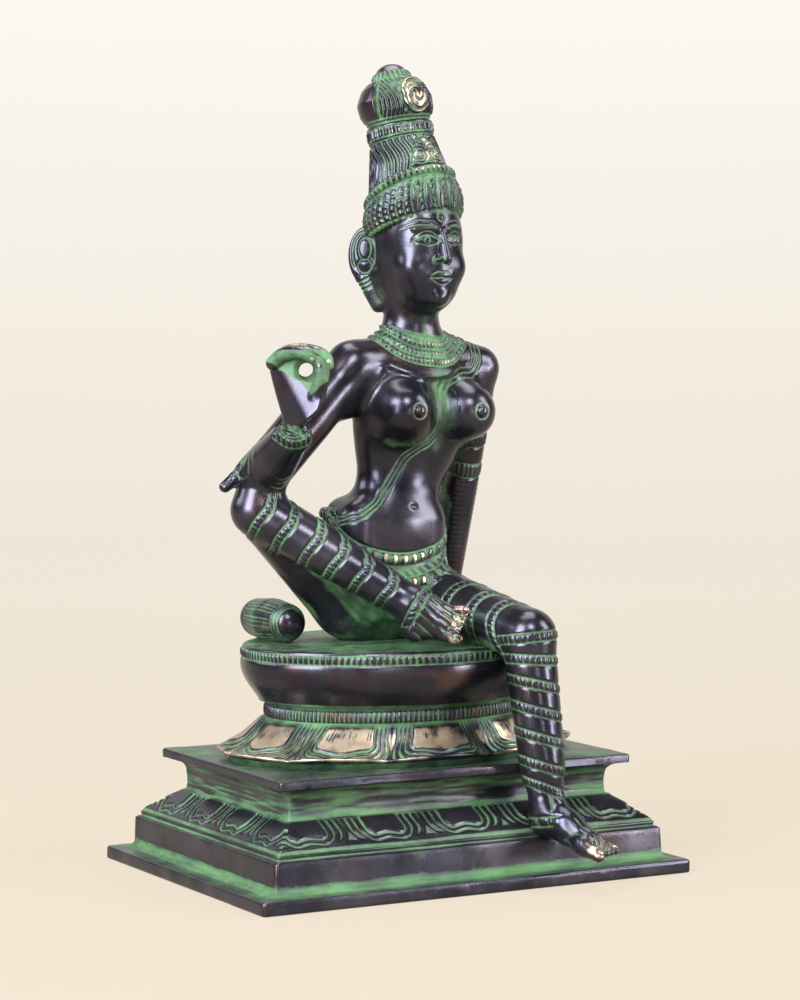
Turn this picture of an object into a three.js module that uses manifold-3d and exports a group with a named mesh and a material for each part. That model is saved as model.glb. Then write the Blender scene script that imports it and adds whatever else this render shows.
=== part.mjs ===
// A cast goddess figure on a cushion and lotus seat, above a stepped oblong plinth.
// Millimetres, +Z up. The origin is the centre of the plinth's underside. The figure faces -Y, and her
// left side is +X. Two pieces: the figure with its seat, and the plinth that carries it.
import * as THREE from 'three';
import { mergeVertices } from 'three/addons/utils/BufferGeometryUtils.js';
import Module from 'manifold-3d';

const wasm = await Module();
wasm.setup();

// Driving sizes of the plinth, from the floor up
const footSlab = { width: 180, depth: 135, height: 5 };
const lowerCove = { height: 2.6, inset: 8.2 };
const dado = { height: 9.4, topInset: 0.3 };
const fillet = { height: 3.2, inset: 2.4 };
const petalZone = { height: 8.6, sideInset: 11.6, frontInset: 14.8 };
const neck = { height: 8, waist: 0.4 };
const topSlab = { height: 3.2, overhang: 6.6, edgeRound: 0.8 };
const upperCyma = { height: 4 };
const slabEdge = 0.8;
const cornerRadius = 1.2;
const cornerSteps = 1;

// Petal panels carved on the plinth's sloping zone
const panel = { width: 19, pitch: 31.2, relief: 0.8, swell: 0.25, corner: 2.6, endMargin: 0.14, thickness: 2.4 };

// Driving sizes of the seat, which stands on the top slab
const seatMargin = { side: 2, front: 2.6 };
const seatSteps = 60;
const lotusFoot = { height: 1.6, inset: 1.5 };
const lotus = { rim: 2.2, height: 13.8, petals: 10, relief: 3.2, scallop: 1.5, firstPetal: -94 };
const collar = { height: 6, widthShare: 0.76, depthShare: 0.82, bulge: 0.7, groove: 0.8 };
const cushion = { height: 21.4, widthShare: 0.865, depthShare: 0.95, round: 2.2 };

// The figure is drawn in units of which her height above the cushion holds 218
const figureHeight = 218;
const figureUnits = 218;
const unit = figureHeight / figureUnits;

// The hanging leg passes in front of the top slab
const legGap = 0.6;
const plinthGap = 0.3;
const levelTolerance = 1e-3;

// Fineness of the sculpted body
const sampling = 1.8;
const bodyFaces = 3700;
const fineWeight = 6;

// Levels that follow from the sizes above
const slabTop = footSlab.height;
const dadoFoot = slabTop + lowerCove.height;
const dadoTop = dadoFoot + dado.height;
const zoneFoot = dadoTop + fillet.height;
const zoneTop = zoneFoot + petalZone.height;
const neckTop = zoneTop + neck.height;
const edgeFoot = neckTop + upperCyma.height;
const plinthTop = edgeFoot + topSlab.height;

const dadoWidth = footSlab.width - 2 * lowerCove.inset;
const dadoDepth = footSlab.depth - 2 * (lowerCove.inset - 1.2);
const zoneWidth = dadoWidth - 2 * fillet.inset;
const zoneDepth = dadoDepth - 2 * fillet.inset;
const neckWidth = zoneWidth - 2 * petalZone.sideInset;
const neckDepth = zoneDepth - 2 * petalZone.frontInset;
const topWidth = neckWidth + 2 * topSlab.overhang;
const topDepth = neckDepth + 2 * topSlab.overhang;

const lotusWidth = topWidth - 2 * seatMargin.side;
const lotusDepth = topDepth - 2 * seatMargin.front;
const seatX = 1;
const seatY = 0.6;
const lotusTop = plinthTop + lotusFoot.height + lotus.height;
const collarTop = lotusTop + collar.height;
const seatTop = collarTop + cushion.height;

function metal(color, roughness) {
  return new THREE.MeshStandardMaterial({ color, roughness, metalness: 0.75 });
}

// Solids: plain triangle meshes, and their joins and cuts

function toSolid(geometry) {
  geometry.deleteAttribute('normal');
  geometry.deleteAttribute('uv');
  const merged = mergeVertices(geometry, 1e-4);
  const mesh = new wasm.Mesh({
    numProp: 3,
    vertProperties: Float32Array.from(merged.attributes.position.array),
    triVerts: Uint32Array.from(merged.index.array),
  });
  return new wasm.Manifold(mesh);
}

// The two pieces meet at the plinth's top face, so what lies on that level is set exactly level again
function toGeometry(solid) {
  const mesh = solid.getMesh();
  const positions = Float32Array.from(mesh.vertProperties);
  for (let i = 2; i < positions.length; i += 3) {
    if (Math.abs(positions[i] - plinthTop) < levelTolerance) positions[i] = plinthTop;
  }
  const geometry = new THREE.BufferGeometry();
  geometry.setAttribute('position', new THREE.BufferAttribute(positions, 3));
  geometry.setIndex(new THREE.BufferAttribute(Uint32Array.from(mesh.triVerts), 1));
  return geometry;
}

function meshGeometry(points, triangles) {
  const geometry = new THREE.BufferGeometry();
  geometry.setAttribute('position', new THREE.Float32BufferAttribute(points.flatMap((p) => [p.x, p.y, p.z]), 3));
  geometry.setIndex(triangles.flat());
  return geometry;
}

// Closed skin over a stack of rings that all have the same number of points, counter-clockwise from above
function stackRings(rings) {
  const points = rings.flat();
  const count = rings[0].length;
  const triangles = [];
  for (let level = 0; level + 1 < rings.length; level += 1) {
    for (let i = 0; i < count; i += 1) {
      const a = level * count + i;
      const b = level * count + ((i + 1) % count);
      triangles.push([a, b, b + count], [a, b + count, a + count]);
    }
  }
  const top = (rings.length - 1) * count;
  for (let i = 1; i + 1 < count; i += 1) {
    triangles.push([0, i + 1, i], [top, top + i, top + i + 1]);
  }
  return meshGeometry(points, triangles);
}

// Plinth

function oblongRing(width, depth, z) {
  const ring = [];
  const corners = [[1, 1], [-1, 1], [-1, -1], [1, -1]];
  corners.forEach(([sx, sy], quarter) => {
    for (let step = 0; step <= cornerSteps; step += 1) {
      const angle = (quarter + step / cornerSteps) * Math.PI / 2;
      const x = sx * (width / 2 - cornerRadius) + cornerRadius * Math.cos(angle);
      const y = sy * (depth / 2 - cornerRadius) + cornerRadius * Math.sin(angle);
      ring.push(new THREE.Vector3(x, y, z));
    }
  });
  return ring;
}

// Half-widths and levels of the plinth's moulding, each grown outwards by a clearance
function plinthRings(grow) {
  const g = 2 * grow;
  const rings = [];
  const add = (width, depth, z) => rings.push(oblongRing(width + g, depth + g, z));
  add(footSlab.width - 2 * slabEdge, footSlab.depth - 2 * slabEdge, -grow);
  add(footSlab.width, footSlab.depth, slabEdge);
  add(footSlab.width, footSlab.depth, slabTop - slabEdge);
  add(footSlab.width - 2 * slabEdge, footSlab.depth - 2 * slabEdge, slabTop + grow);
  const coveSteps = 3;
  for (let step = 0; step < coveSteps; step += 1) {
    const t = step / coveSteps;
    const out = 2 * 2.4 * (1 - t) ** 2;
    add(dadoWidth + out, dadoDepth + out, slabTop + grow + (0.1 + 0.9 * t) * (lowerCove.height - grow));
  }
  add(dadoWidth, dadoDepth, dadoFoot);
  add(dadoWidth - 2 * dado.topInset, dadoDepth - 2 * dado.topInset, dadoTop - slabEdge);
  add(dadoWidth - 2 * slabEdge, dadoDepth - 2 * slabEdge, dadoTop);
  add(zoneWidth + slabEdge, zoneDepth + slabEdge, dadoTop + 0.2 * fillet.height);
  add(zoneWidth, zoneDepth, zoneFoot);
  const zoneSteps = 3;
  for (let step = 1; step <= zoneSteps; step += 1) {
    const t = step / zoneSteps;
    add(zoneWidth - 2 * petalZone.sideInset * t, zoneDepth - 2 * petalZone.frontInset * t,
      zoneFoot + petalZone.height * (0.8 * t + 0.2 * Math.sin(t * Math.PI / 2)));
  }
  add(neckWidth - 2 * neck.waist, neckDepth - 2 * neck.waist, zoneTop + neck.height / 2);
  add(neckWidth, neckDepth, neckTop);
  const cymaSteps = 3;
  for (let step = 1; step <= cymaSteps; step += 1) {
    const t = step / cymaSteps;
    const out = 2 * topSlab.overhang * (1 - Math.cos(t * Math.PI / 2));
    add(neckWidth + out, neckDepth + out, neckTop + upperCyma.height * Math.sin(t * Math.PI / 2) - grow);
  }
  add(topWidth, topDepth, plinthTop - topSlab.edgeRound);
  add(topWidth - 2 * topSlab.edgeRound, topDepth - 2 * topSlab.edgeRound, plinthTop + grow);
  return rings;
}

// One raised panel with rounded lower corners, laid on the sloping zone of the side that faces `turn`
function petalPanel(along, halfSpan, inset, turn, grow) {
  const slope = Math.hypot(inset, petalZone.height);
  const low = slope * panel.endMargin - grow;
  const high = slope * (1 - panel.endMargin) + grow;
  const w = panel.width / 2 + grow;
  const shape = new THREE.Shape();
  shape.moveTo(-w * 0.9, high);
  shape.lineTo(-w, low + panel.corner);
  shape.quadraticCurveTo(-w, low, -w + panel.corner, low);
  shape.lineTo(w - panel.corner, low);
  shape.quadraticCurveTo(w, low, w, low + panel.corner);
  shape.lineTo(w * 0.9, high);
  shape.closePath();
  const geometry = new THREE.ExtrudeGeometry(shape, {
    depth: panel.thickness, bevelEnabled: false, curveSegments: 2,
  });
  // Drawn upright with its face towards +Z, then leaned back along the slope and turned to its side
  geometry.translate(0, 0, -panel.thickness);
  const lean = Math.atan2(inset, petalZone.height);
  geometry.rotateX(Math.PI / 2 - lean);
  geometry.translate(along, -halfSpan, zoneFoot);
  const out = panel.relief + panel.swell + grow;
  geometry.translate(0, -out * Math.cos(lean), out * Math.sin(lean));
  geometry.rotateZ(turn);
  return toSolid(geometry);
}

function panelPlaces(length) {
  const count = Math.max(1, Math.floor((length - panel.width) / panel.pitch) + 1);
  return Array.from({ length: count }, (_, i) => (i - (count - 1) / 2) * panel.pitch);
}

function plinthSolid(grow) {
  let solid = toSolid(stackRings(plinthRings(grow)));
  const sides = [
    { length: neckWidth, half: zoneDepth / 2, inset: petalZone.frontInset, turn: 0 },
    { length: neckDepth, half: zoneWidth / 2, inset: petalZone.sideInset, turn: Math.PI / 2 },
    { length: neckWidth, half: zoneDepth / 2, inset: petalZone.frontInset, turn: Math.PI },
    { length: neckDepth, half: zoneWidth / 2, inset: petalZone.sideInset, turn: -Math.PI / 2 },
  ];
  for (const side of sides) {
    for (const along of panelPlaces(side.length)) {
      solid = solid.add(petalPanel(along, side.half, side.inset, side.turn, grow));
    }
  }
  return solid;
}

// Seat: rings of an oval, with the lotus petals as lobes on its flare

function ovalRing(halfWidth, halfDepth, z, lobes) {
  const ring = [];
  for (let i = 0; i < seatSteps; i += 1) {
    // The first point lies in the notch between two petals
    const notch = THREE.MathUtils.degToRad(lotus.firstPetal) + Math.PI / lotus.petals;
    const angle = notch + i / seatSteps * 2 * Math.PI;
    const lobe = Math.abs(Math.sin((angle - notch) * lotus.petals / 2)) ** 0.7;
    const out = lobes ? lobes.relief * lobe : 0;
    const lift = lobes ? lobes.scallop * (lobe - 0.5) : 0;
    ring.push(new THREE.Vector3(
      seatX + (halfWidth + out) * Math.cos(angle),
      seatY + (halfDepth + out) * Math.sin(angle),
      z + lift,
    ));
  }
  return ring;
}

function makeSeat() {
  const a = lotusWidth / 2 - lotus.relief;
  const b = lotusDepth / 2 - lotus.relief;
  const rings = [];
  rings.push(ovalRing(a - lotusFoot.inset, b - lotusFoot.inset, plinthTop));
  const flareFoot = plinthTop + lotusFoot.height;
  rings.push(ovalRing(a - lotusFoot.inset, b - lotusFoot.inset, flareFoot));
  rings.push(ovalRing(a, b, flareFoot + lotus.scallop, { relief: lotus.relief, scallop: lotus.scallop }));
  const ca = a * collar.widthShare;
  const cb = b * collar.depthShare;
  const flareSteps = 4;
  for (let step = 0; step < flareSteps; step += 1) {
    const t = step / flareSteps;
    const eased = t + 0.25 * Math.sin(t * Math.PI) * (1 - t);
    const lobes = { relief: lotus.relief * (1 - t) ** 0.6, scallop: lotus.scallop * (1 - t) };
    rings.push(ovalRing(a + (ca - a) * eased, b + (cb - b) * eased,
      flareFoot + lotus.rim + (lotus.height - lotus.rim) * t, lobes));
  }
  rings.push(ovalRing(ca, cb, lotusTop));
  rings.push(ovalRing(ca + collar.bulge, cb + collar.bulge, lotusTop + 0.3 * collar.height));
  rings.push(ovalRing(ca + collar.bulge, cb + collar.bulge, lotusTop + 0.7 * collar.height));
  rings.push(ovalRing(ca - collar.groove, cb - collar.groove, collarTop));
  const qa = lotusWidth / 2 * cushion.widthShare;
  const qb = lotusDepth / 2 * cushion.depthShare;
  const sideSteps = 3;
  for (let step = 0; step <= sideSteps; step += 1) {
    const t = step / sideSteps;
    const swell = Math.sin((0.18 + 0.82 * t) * Math.PI / 2);
    rings.push(ovalRing(ca + (qa - ca) * swell, cb + (qb - cb) * swell,
      collarTop + cushion.height * 0.02 + (cushion.height * 0.98 - cushion.round) * t));
  }
  rings.push(ovalRing(qa - cushion.round * 0.35, qb - cushion.round * 0.35, seatTop - cushion.round * 0.3));
  rings.push(ovalRing(qa - cushion.round, qb - cushion.round, seatTop));
  return toSolid(stackRings(rings));
}

// Sculpted body: distances to simple forms, blended into one field

// Place in the figure's units, measured across from the plinth's axis and up from the cushion
function at(x, y, z) {
  return new THREE.Vector3(x * unit, y * unit, seatTop + z * unit);
}

function cone(a, b, ra, rb) {
  const axis = b.clone().sub(a);
  const length2 = axis.lengthSq();
  return (x, y, z) => {
    const px = x - a.x;
    const py = y - a.y;
    const pz = z - a.z;
    const t = Math.min(1, Math.max(0, (px * axis.x + py * axis.y + pz * axis.z) / length2));
    const d = Math.hypot(px - t * axis.x, py - t * axis.y, pz - t * axis.z);
    return d - (ra + t * (rb - ra)) * unit;
  };
}

// A limb through several places, each with its own radius
function limb(stations) {
  const parts = [];
  for (let i = 0; i + 1 < stations.length; i += 1) {
    parts.push(cone(stations[i][0], stations[i + 1][0], stations[i][1], stations[i + 1][1]));
  }
  return (x, y, z) => Math.min(...parts.map((part) => part(x, y, z)));
}

// Ellipsoid with its own turn about the three axes, in degrees
function egg(centre, radii, turn = [0, 0, 0]) {
  const [rx, ry, rz] = radii.map((r) => r * unit);
  const euler = new THREE.Euler(...turn.map(THREE.MathUtils.degToRad));
  const inverse = new THREE.Matrix4().makeRotationFromEuler(euler).transpose();
  const p = new THREE.Vector3();
  return (x, y, z) => {
    p.set(x - centre.x, y - centre.y, z - centre.z).applyMatrix4(inverse);
    const k0 = Math.hypot(p.x / rx, p.y / ry, p.z / rz);
    const k1 = Math.hypot(p.x / (rx * rx), p.y / (ry * ry), p.z / (rz * rz));
    return k1 > 0 ? k0 * (k0 - 1) / k1 : -Math.min(rx, ry, rz);
  };
}

function softBox(centre, half, round) {
  const r = round * unit;
  return (x, y, z) => {
    const qx = Math.abs(x - centre.x) - half[0] * unit + r;
    const qy = Math.abs(y - centre.y) - half[1] * unit + r;
    const qz = Math.abs(z - centre.z) - half[2] * unit + r;
    const outside = Math.hypot(Math.max(qx, 0), Math.max(qy, 0), Math.max(qz, 0));
    return outside + Math.min(Math.max(qx, qy, qz), 0) - r;
  };
}

function ringAround(centre, normal, radius, thickness) {
  const n = normal.clone().normalize();
  return (x, y, z) => {
    const px = x - centre.x;
    const py = y - centre.y;
    const pz = z - centre.z;
    const h = px * n.x + py * n.y + pz * n.z;
    const across = Math.sqrt(Math.max(0, px * px + py * py + pz * pz - h * h));
    return Math.hypot(across - radius * unit, h) - thickness * unit;
  };
}

function blend(a, b, width) {
  const k = width * unit;
  const h = Math.max(k - Math.abs(a - b), 0) / k;
  return Math.min(a, b) - h * h * k / 4;
}

// Joins forms in order, each with the width over which it melts into those before it
function melt(forms) {
  return (x, y, z) => forms.reduce((sum, [form, width]) => (
    width ? blend(sum, form(x, y, z), width) : Math.min(sum, form(x, y, z))
  ), Infinity);
}

// Landmarks of the pose
const shinY = -(topDepth / 2 + legGap) / unit - 7.4;
const pose = {
  hipRight: at(-16, 7, 15),
  kneeRight: at(-58.4, 0, 51),
  ankleRight: at(-12, -38, 16),
  hipLeft: at(16, 3, 14),
  kneeLeft: at(27.6, shinY + 6, 4.5),
  ankleLeft: at(31, shinY - 2, -59),
  shoulderRight: at(-17, 3, 103.7),
  elbowRight: at(-56, 0, 64),
  wristRight: at(-58, -29, 80.5),
  shoulderLeft: at(39.2, 6, 102.5),
  elbowLeft: at(36.2, 14, 57),
  wristLeft: at(34, 23, 14),
  neckFoot: at(9.5, 5, 108),
  neckTop: at(8.8, 3.5, 128),
};

function between(a, b, t) {
  return a.clone().lerp(b, t);
}

function torsoForms() {
  return [
    [egg(at(-2, 8, 15), [26, 18, 17]), 0],
    [softBox(at(-1.6, 6, 34), [22.6, 15, 20.5], 10), 7],
    [egg(at(0.5, 3.5, 44), [16.5, 13.5, 17]), 6],
    [egg(at(3.5, 5, 57), [16, 11, 13]), 7],
    [egg(at(7, 4.5, 70), [20, 12, 14]), 7],
    [egg(at(8.2, 4, 82.5), [23.4, 12.5, 17]), 7],
    [egg(at(10, 5, 98), [26, 11, 12.5]), 7],
    [cone(at(10, 5, 108), pose.shoulderRight, 8.5, 8), 6],
    [cone(at(10, 5, 108), pose.shoulderLeft, 8.5, 8), 6],
    [cone(at(7, 5, 114), at(-9, 4, 105), 6.5, 6), 6],
    [cone(at(12, 5, 113), at(30, 5, 106), 6.5, 6), 6],
    [cone(at(-13, 4, 93), at(-20, 3, 89), 5.5, 4.8), 5],
    [cone(pose.neckFoot, pose.neckTop, 11.4, 10.2), 5],
  ];
}

function breastForms() {
  return [[at(-0.5, -8, 87), 11.3], [at(27.2, -7.5, 86.5), 10.8]].flatMap(([centre, r]) => {
    const tip = centre.clone().add(new THREE.Vector3(0.04 * r, -r, 0.02 * r).multiplyScalar(unit));
    return [
      [egg(centre, [r, r, r]), 2.5],
      [egg(tip, [2.2, 1.6, 2.2]), 0.6],
    ];
  });
}

// Head facing -Y; the features sit at even shares of its height
function headForms() {
  const head = { x: 10, y: -1.5, z: 150, wide: 15.8, deep: 17, high: 24 };
  const face = (x, y, z) => at(head.x + x, y, z);
  const paired = (make) => [make(-1), make(1)];
  return [
    [egg(at(head.x, head.y, head.z), [head.wide, head.deep, head.high]), 3],
    [egg(face(0, -7.5, 135), [11, 10, 11]), 6],
    [egg(face(0, 5.5, 150), [16, 13, 20]), 3],
    [egg(face(-1, 5, 139), [13.5, 11, 15]), 4],
    ...paired((side) => [cone(face(side * 2.6, -18.2, 155.2), face(side * 9.6, -14.2, 155), 1.2, 0.8), 1.4]),
    ...paired((side) => [egg(face(side * 5.8, -15.6, 150.8), [3.9, 1.9, 2]), 0.8]),
    ...paired((side) => [egg(face(side * 8.2, -10.5, 141), [5, 5, 5]), 4]),
    [cone(face(0, -17.8, 154), face(0, -21, 144.2), 1.3, 2.1), 1.4],
    ...paired((side) => [egg(face(side * 2.4, -18.6, 143.6), [1.6, 1.8, 1.3]), 1]),
    [cone(face(-4, -16.4, 138.3), face(4, -16.4, 138.3), 1.2, 1.2), 1],
    [cone(face(-3, -16.4, 135.9), face(3, -16.4, 135.9), 1.4, 1.4), 0.6],
    [egg(face(0, -14.6, 129.8), [4.4, 3.4, 3.4]), 2],
  ];
}

// An ear with its long lobe and tube ornament, on the side of the head that `side` gives
function earForms(side) {
  const place = (out, y, z) => at(10 + side * out, y, z);
  return [
    [egg(place(16.4, 11, 145.5), [7, 2.6, 11], [0, 0, side * 38]), 1.5],
    [cone(place(17, 11.5, 136.5), place(12.8, 8.5, 126.5), 3, 2.6), 1.5],
    [cone(place(11.5, 7, 138), place(9.5, 6.5, 129), 5, 3.6), 3],
  ];
}

function armForms() {
  const { shoulderRight, elbowRight, wristRight, shoulderLeft, elbowLeft, wristLeft } = pose;
  return [
    [limb([[shoulderRight, 8.8], [between(shoulderRight, elbowRight, 0.5), 9.4], [elbowRight, 9.2]]), 6],
    [limb([[elbowRight, 9], [between(elbowRight, wristRight, 0.4), 8.6], [wristRight, 7.2]]), 2],
    [cone(at(-52, 2, 74), at(-70.2, 3, 59.8), 4, 2.2), 2],
    [limb([[shoulderLeft, 8.1], [elbowLeft, 7.3], [wristLeft, 6.2]]), 3],
    [egg(at(34.5, 27, 5), [7.5, 10, 5]), 3],
  ];
}

function rightLegForms() {
  const { hipRight, kneeRight, ankleRight } = pose;
  const forms = [
    [limb([[hipRight, 14.5], [between(hipRight, kneeRight, 0.5), 12], [kneeRight, 9.5]]), 5],
    [limb([[kneeRight, 9.5], [between(kneeRight, ankleRight, 0.35), 9.2],
      [between(kneeRight, ankleRight, 0.7), 7.6], [ankleRight, 6.2]]), 2],
  ];
  // The casting's web fills the angle between thigh and shin down to the cushion
  const ribs = 9;
  for (let rib = 0; rib < ribs; rib += 1) {
    const t = 0.25 + 0.75 * rib / (ribs - 1);
    const low = between(kneeRight, hipRight, t);
    low.z = Math.max(low.z - 5 * t * unit, seatTop);
    forms.push([cone(between(kneeRight, ankleRight, t), low, 4, 4), 4]);
  }
  return forms;
}

function leftLegForms() {
  const { hipLeft, kneeLeft, ankleLeft } = pose;
  return [
    [limb([[hipLeft, 14], [between(hipLeft, kneeLeft, 0.55), 12], [kneeLeft, 10.2]]), 5],
    [limb([[kneeLeft, 10], [between(kneeLeft, ankleLeft, 0.3), 9.3],
      [between(kneeLeft, ankleLeft, 0.75), 8.5], [between(kneeLeft, ankleLeft, 0.92), 6.4], [ankleLeft, 5.4]]), 2],
  ];
}

// A foot from heel to toes; `across` points from the little toe to the big one, `along` where the toes point
function footForms(ankle, heel, ball, across, along) {
  const side = across.clone().normalize();
  const forward = along.clone().normalize();
  const forms = [
    [cone(ankle, heel, 5.2, 4.4), 3],
    [cone(heel, ball, 4.2, 3.6), 3],
    [cone(ankle, ball, 4.8, 3.2), 3],
    [cone(ball.clone().addScaledVector(side, 3.8 * unit), ball.clone().addScaledVector(side, -3.8 * unit), 3.3, 3), 3],
  ];
  const toes = 5;
  for (let toe = 0; toe < toes; toe += 1) {
    const shift = 5.8 - 3 * toe;
    const reach = 8.6 - 0.8 * toe;
    const radius = toe === 0 ? 2.2 : 1.6;
    const root = ball.clone().addScaledVector(side, shift * unit);
    const tip = root.clone().addScaledVector(forward, reach * unit);
    forms.push([cone(root, tip, radius + 0.4, radius), 0.6]);
  }
  return forms;
}

// The raised right hand, in its own frame: across, up along the palm, and out towards the viewer
function handForms() {
  const { wristRight } = pose;
  const across = new THREE.Vector3(0.87, -0.49, 0);
  const out = new THREE.Vector3(-0.49, -0.87, 0);
  const hand = (u, v, w) => wristRight.clone()
    .addScaledVector(across, u * unit).addScaledVector(out, w * unit).add(new THREE.Vector3(0, 0, v * unit));
  const forms = [
    [cone(hand(0, 0, 0), hand(1.5, 10, 0), 7, 6.2), 2],
    [cone(hand(1.5, 10, 0), hand(-4.6, 21.5, -1), 5.8, 4.4), 2],
    [cone(hand(2, 9, 0), hand(7.6, 17, 0.5), 5.4, 4), 2],
    [ringAround(hand(4.9, 23.9, 1), out, 5.3, 3), 1.5],
  ];
  // Three fingers beside the ring curl over the top of the palm
  const fingers = 3;
  for (let finger = 0; finger < fingers; finger += 1) {
    const u = -7 + 3.2 * finger;
    const top = 26.6 + 1.5 * finger;
    forms.push([limb([
      [hand(u * 0.8, 19, -0.5), 2.6], [hand(u, top, 0), 2.4],
      [hand(u + 0.8, top, 4.6), 2.2], [hand(u + 1.4, top - 4, 6), 1.9],
    ]), 0.6]);
  }
  return forms;
}

// Necklaces close round the neck
function necklaceForms() {
  return [
    [egg(at(9.5, 2.5, 110.5), [14, 13, 3.4], [24, 0, 0]), 1.2],
    [egg(at(9.5, 0.5, 106.5), [17.5, 15.5, 3.6], [30, 0, 0]), 1.2],
  ];
}

// A flat band worn round a limb, at a share of the way from one place to the other
function wornRing(from, to, share, radius) {
  const band = { proud: 0.7, depth: 2, halfWidth: 1.2, sides: 12 };
  const outer = (radius + band.proud) * unit;
  const inner = (radius - band.depth) * unit;
  const half = band.halfWidth * unit;
  const profile = [[inner, -half], [outer, -half], [outer, half], [inner, half], [inner, -half]];
  const geometry = new THREE.LatheGeometry(profile.map(([r, h]) => new THREE.Vector2(r, h)), band.sides);
  const direction = to.clone().sub(from).normalize();
  geometry.applyQuaternion(new THREE.Quaternion().setFromUnitVectors(new THREE.Vector3(0, 1, 0), direction));
  const centre = between(from, to, share);
  geometry.translate(centre.x, centre.y, centre.z);
  return toSolid(geometry);
}

// Armlets, bracelet, anklets and the bands round both shins
function makeBands() {
  const { shoulderRight, elbowRight, wristRight, shoulderLeft, elbowLeft } = pose;
  const { kneeRight, ankleRight, kneeLeft, ankleLeft } = pose;
  const solids = [
    wornRing(shoulderLeft, elbowLeft, 0.62, 7.6),
    wornRing(shoulderLeft, elbowLeft, 0.86, 7.4),
    wornRing(elbowRight, wristRight, 1, 7.6),
  ];
  const bands = 3;
  for (let band = 0; band < bands; band += 1) {
    const share = (band + 0.7) / (bands + 0.4);
    solids.push(wornRing(kneeRight, ankleRight, share, 9.4 - 2.8 * Math.max(0, share - 0.3)));
    solids.push(wornRing(kneeLeft, ankleLeft, 0.1 + 0.85 * share, 9.5 - 1.6 * share));
  }
  solids.push(wornRing(kneeRight, ankleRight, 1, 6.3), wornRing(kneeLeft, ankleLeft, 1, 5.7));
  return solids;
}

// Two belts round the hips that sag at the front
function beltForms() {
  const belt = { centre: [-2, 6], halfWidth: 23, halfDepth: 15.5, thickness: 2.1, steps: 20 };
  const round = (z, drop) => {
    const stations = [];
    for (let step = 0; step <= belt.steps; step += 1) {
      const angle = 2 * Math.PI * step / belt.steps;
      const sag = drop * Math.max(0, -Math.sin(angle));
      stations.push([at(belt.centre[0] + belt.halfWidth * Math.cos(angle),
        belt.centre[1] + belt.halfDepth * Math.sin(angle), z - sag), belt.thickness]);
    }
    return [limb(stations), 1];
  };
  return [round(48, 17), round(42, 20)];
}

function bolsterForm() {
  const bolster = { x: -42, front: 9, back: 31, radius: 8.4, sunk: 0.9 };
  const middle = (bolster.front + bolster.back) / 2;
  const height = bolster.radius - bolster.sunk;
  return [
    [limb([
      [at(bolster.x, bolster.front, height), bolster.radius - 1],
      [at(bolster.x, middle, height), bolster.radius],
      [at(bolster.x, bolster.back, height), bolster.radius - 1],
    ]), 1],
  ];
}

// The hair tower: a turned profile on an axis that leans back
function makeCrown() {
  const foot = at(9.8, 2, 156.4);
  const tip = at(3.6, 11.4, 218);
  const height = tip.distanceTo(foot);
  // Radius in units at shares of the tower's height
  const profile = [
    [0, 18.4], [0.08, 19.3], [0.16, 18.3], [0.24, 16], [0.26, 16.4], [0.3, 16], [0.32, 14.4],
    [0.52, 12.2], [0.55, 12.9], [0.6, 12.9], [0.62, 12.2], [0.7, 13.6], [0.77, 13.6],
    [0.85, 11.4], [0.91, 8.6], [0.94, 6.8], [0.95, 5.9], [0.985, 4.2],
  ];
  const points = profile.map(([share, radius]) => new THREE.Vector2(radius * unit, share * height));
  points.unshift(new THREE.Vector2(0, 0));
  points.push(new THREE.Vector2(0, height));
  const crownSides = 18;
  const geometry = new THREE.LatheGeometry(points, crownSides);
  // The hairline and the lower bands rise towards the forehead
  const rise = { hairline: 0.14, diadem: 0.34, diademShare: 0.28, until: 0.6 };
  const place = geometry.attributes.position;
  for (let i = 0; i < place.count; i += 1) {
    const share = place.getY(i) / height;
    const slope = share < rise.diademShare
      ? THREE.MathUtils.lerp(rise.hairline, rise.diadem, share / rise.diademShare)
      : rise.diadem * Math.max(0, (rise.until - share) / (rise.until - rise.diademShare));
    place.setY(i, place.getY(i) + place.getZ(i) * slope);
  }
  const up = new THREE.Quaternion().setFromUnitVectors(new THREE.Vector3(0, 1, 0), tip.clone().sub(foot).normalize());
  geometry.applyQuaternion(up);
  geometry.translate(foot.x, foot.y, foot.z);
  return toSolid(geometry);
}

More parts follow.
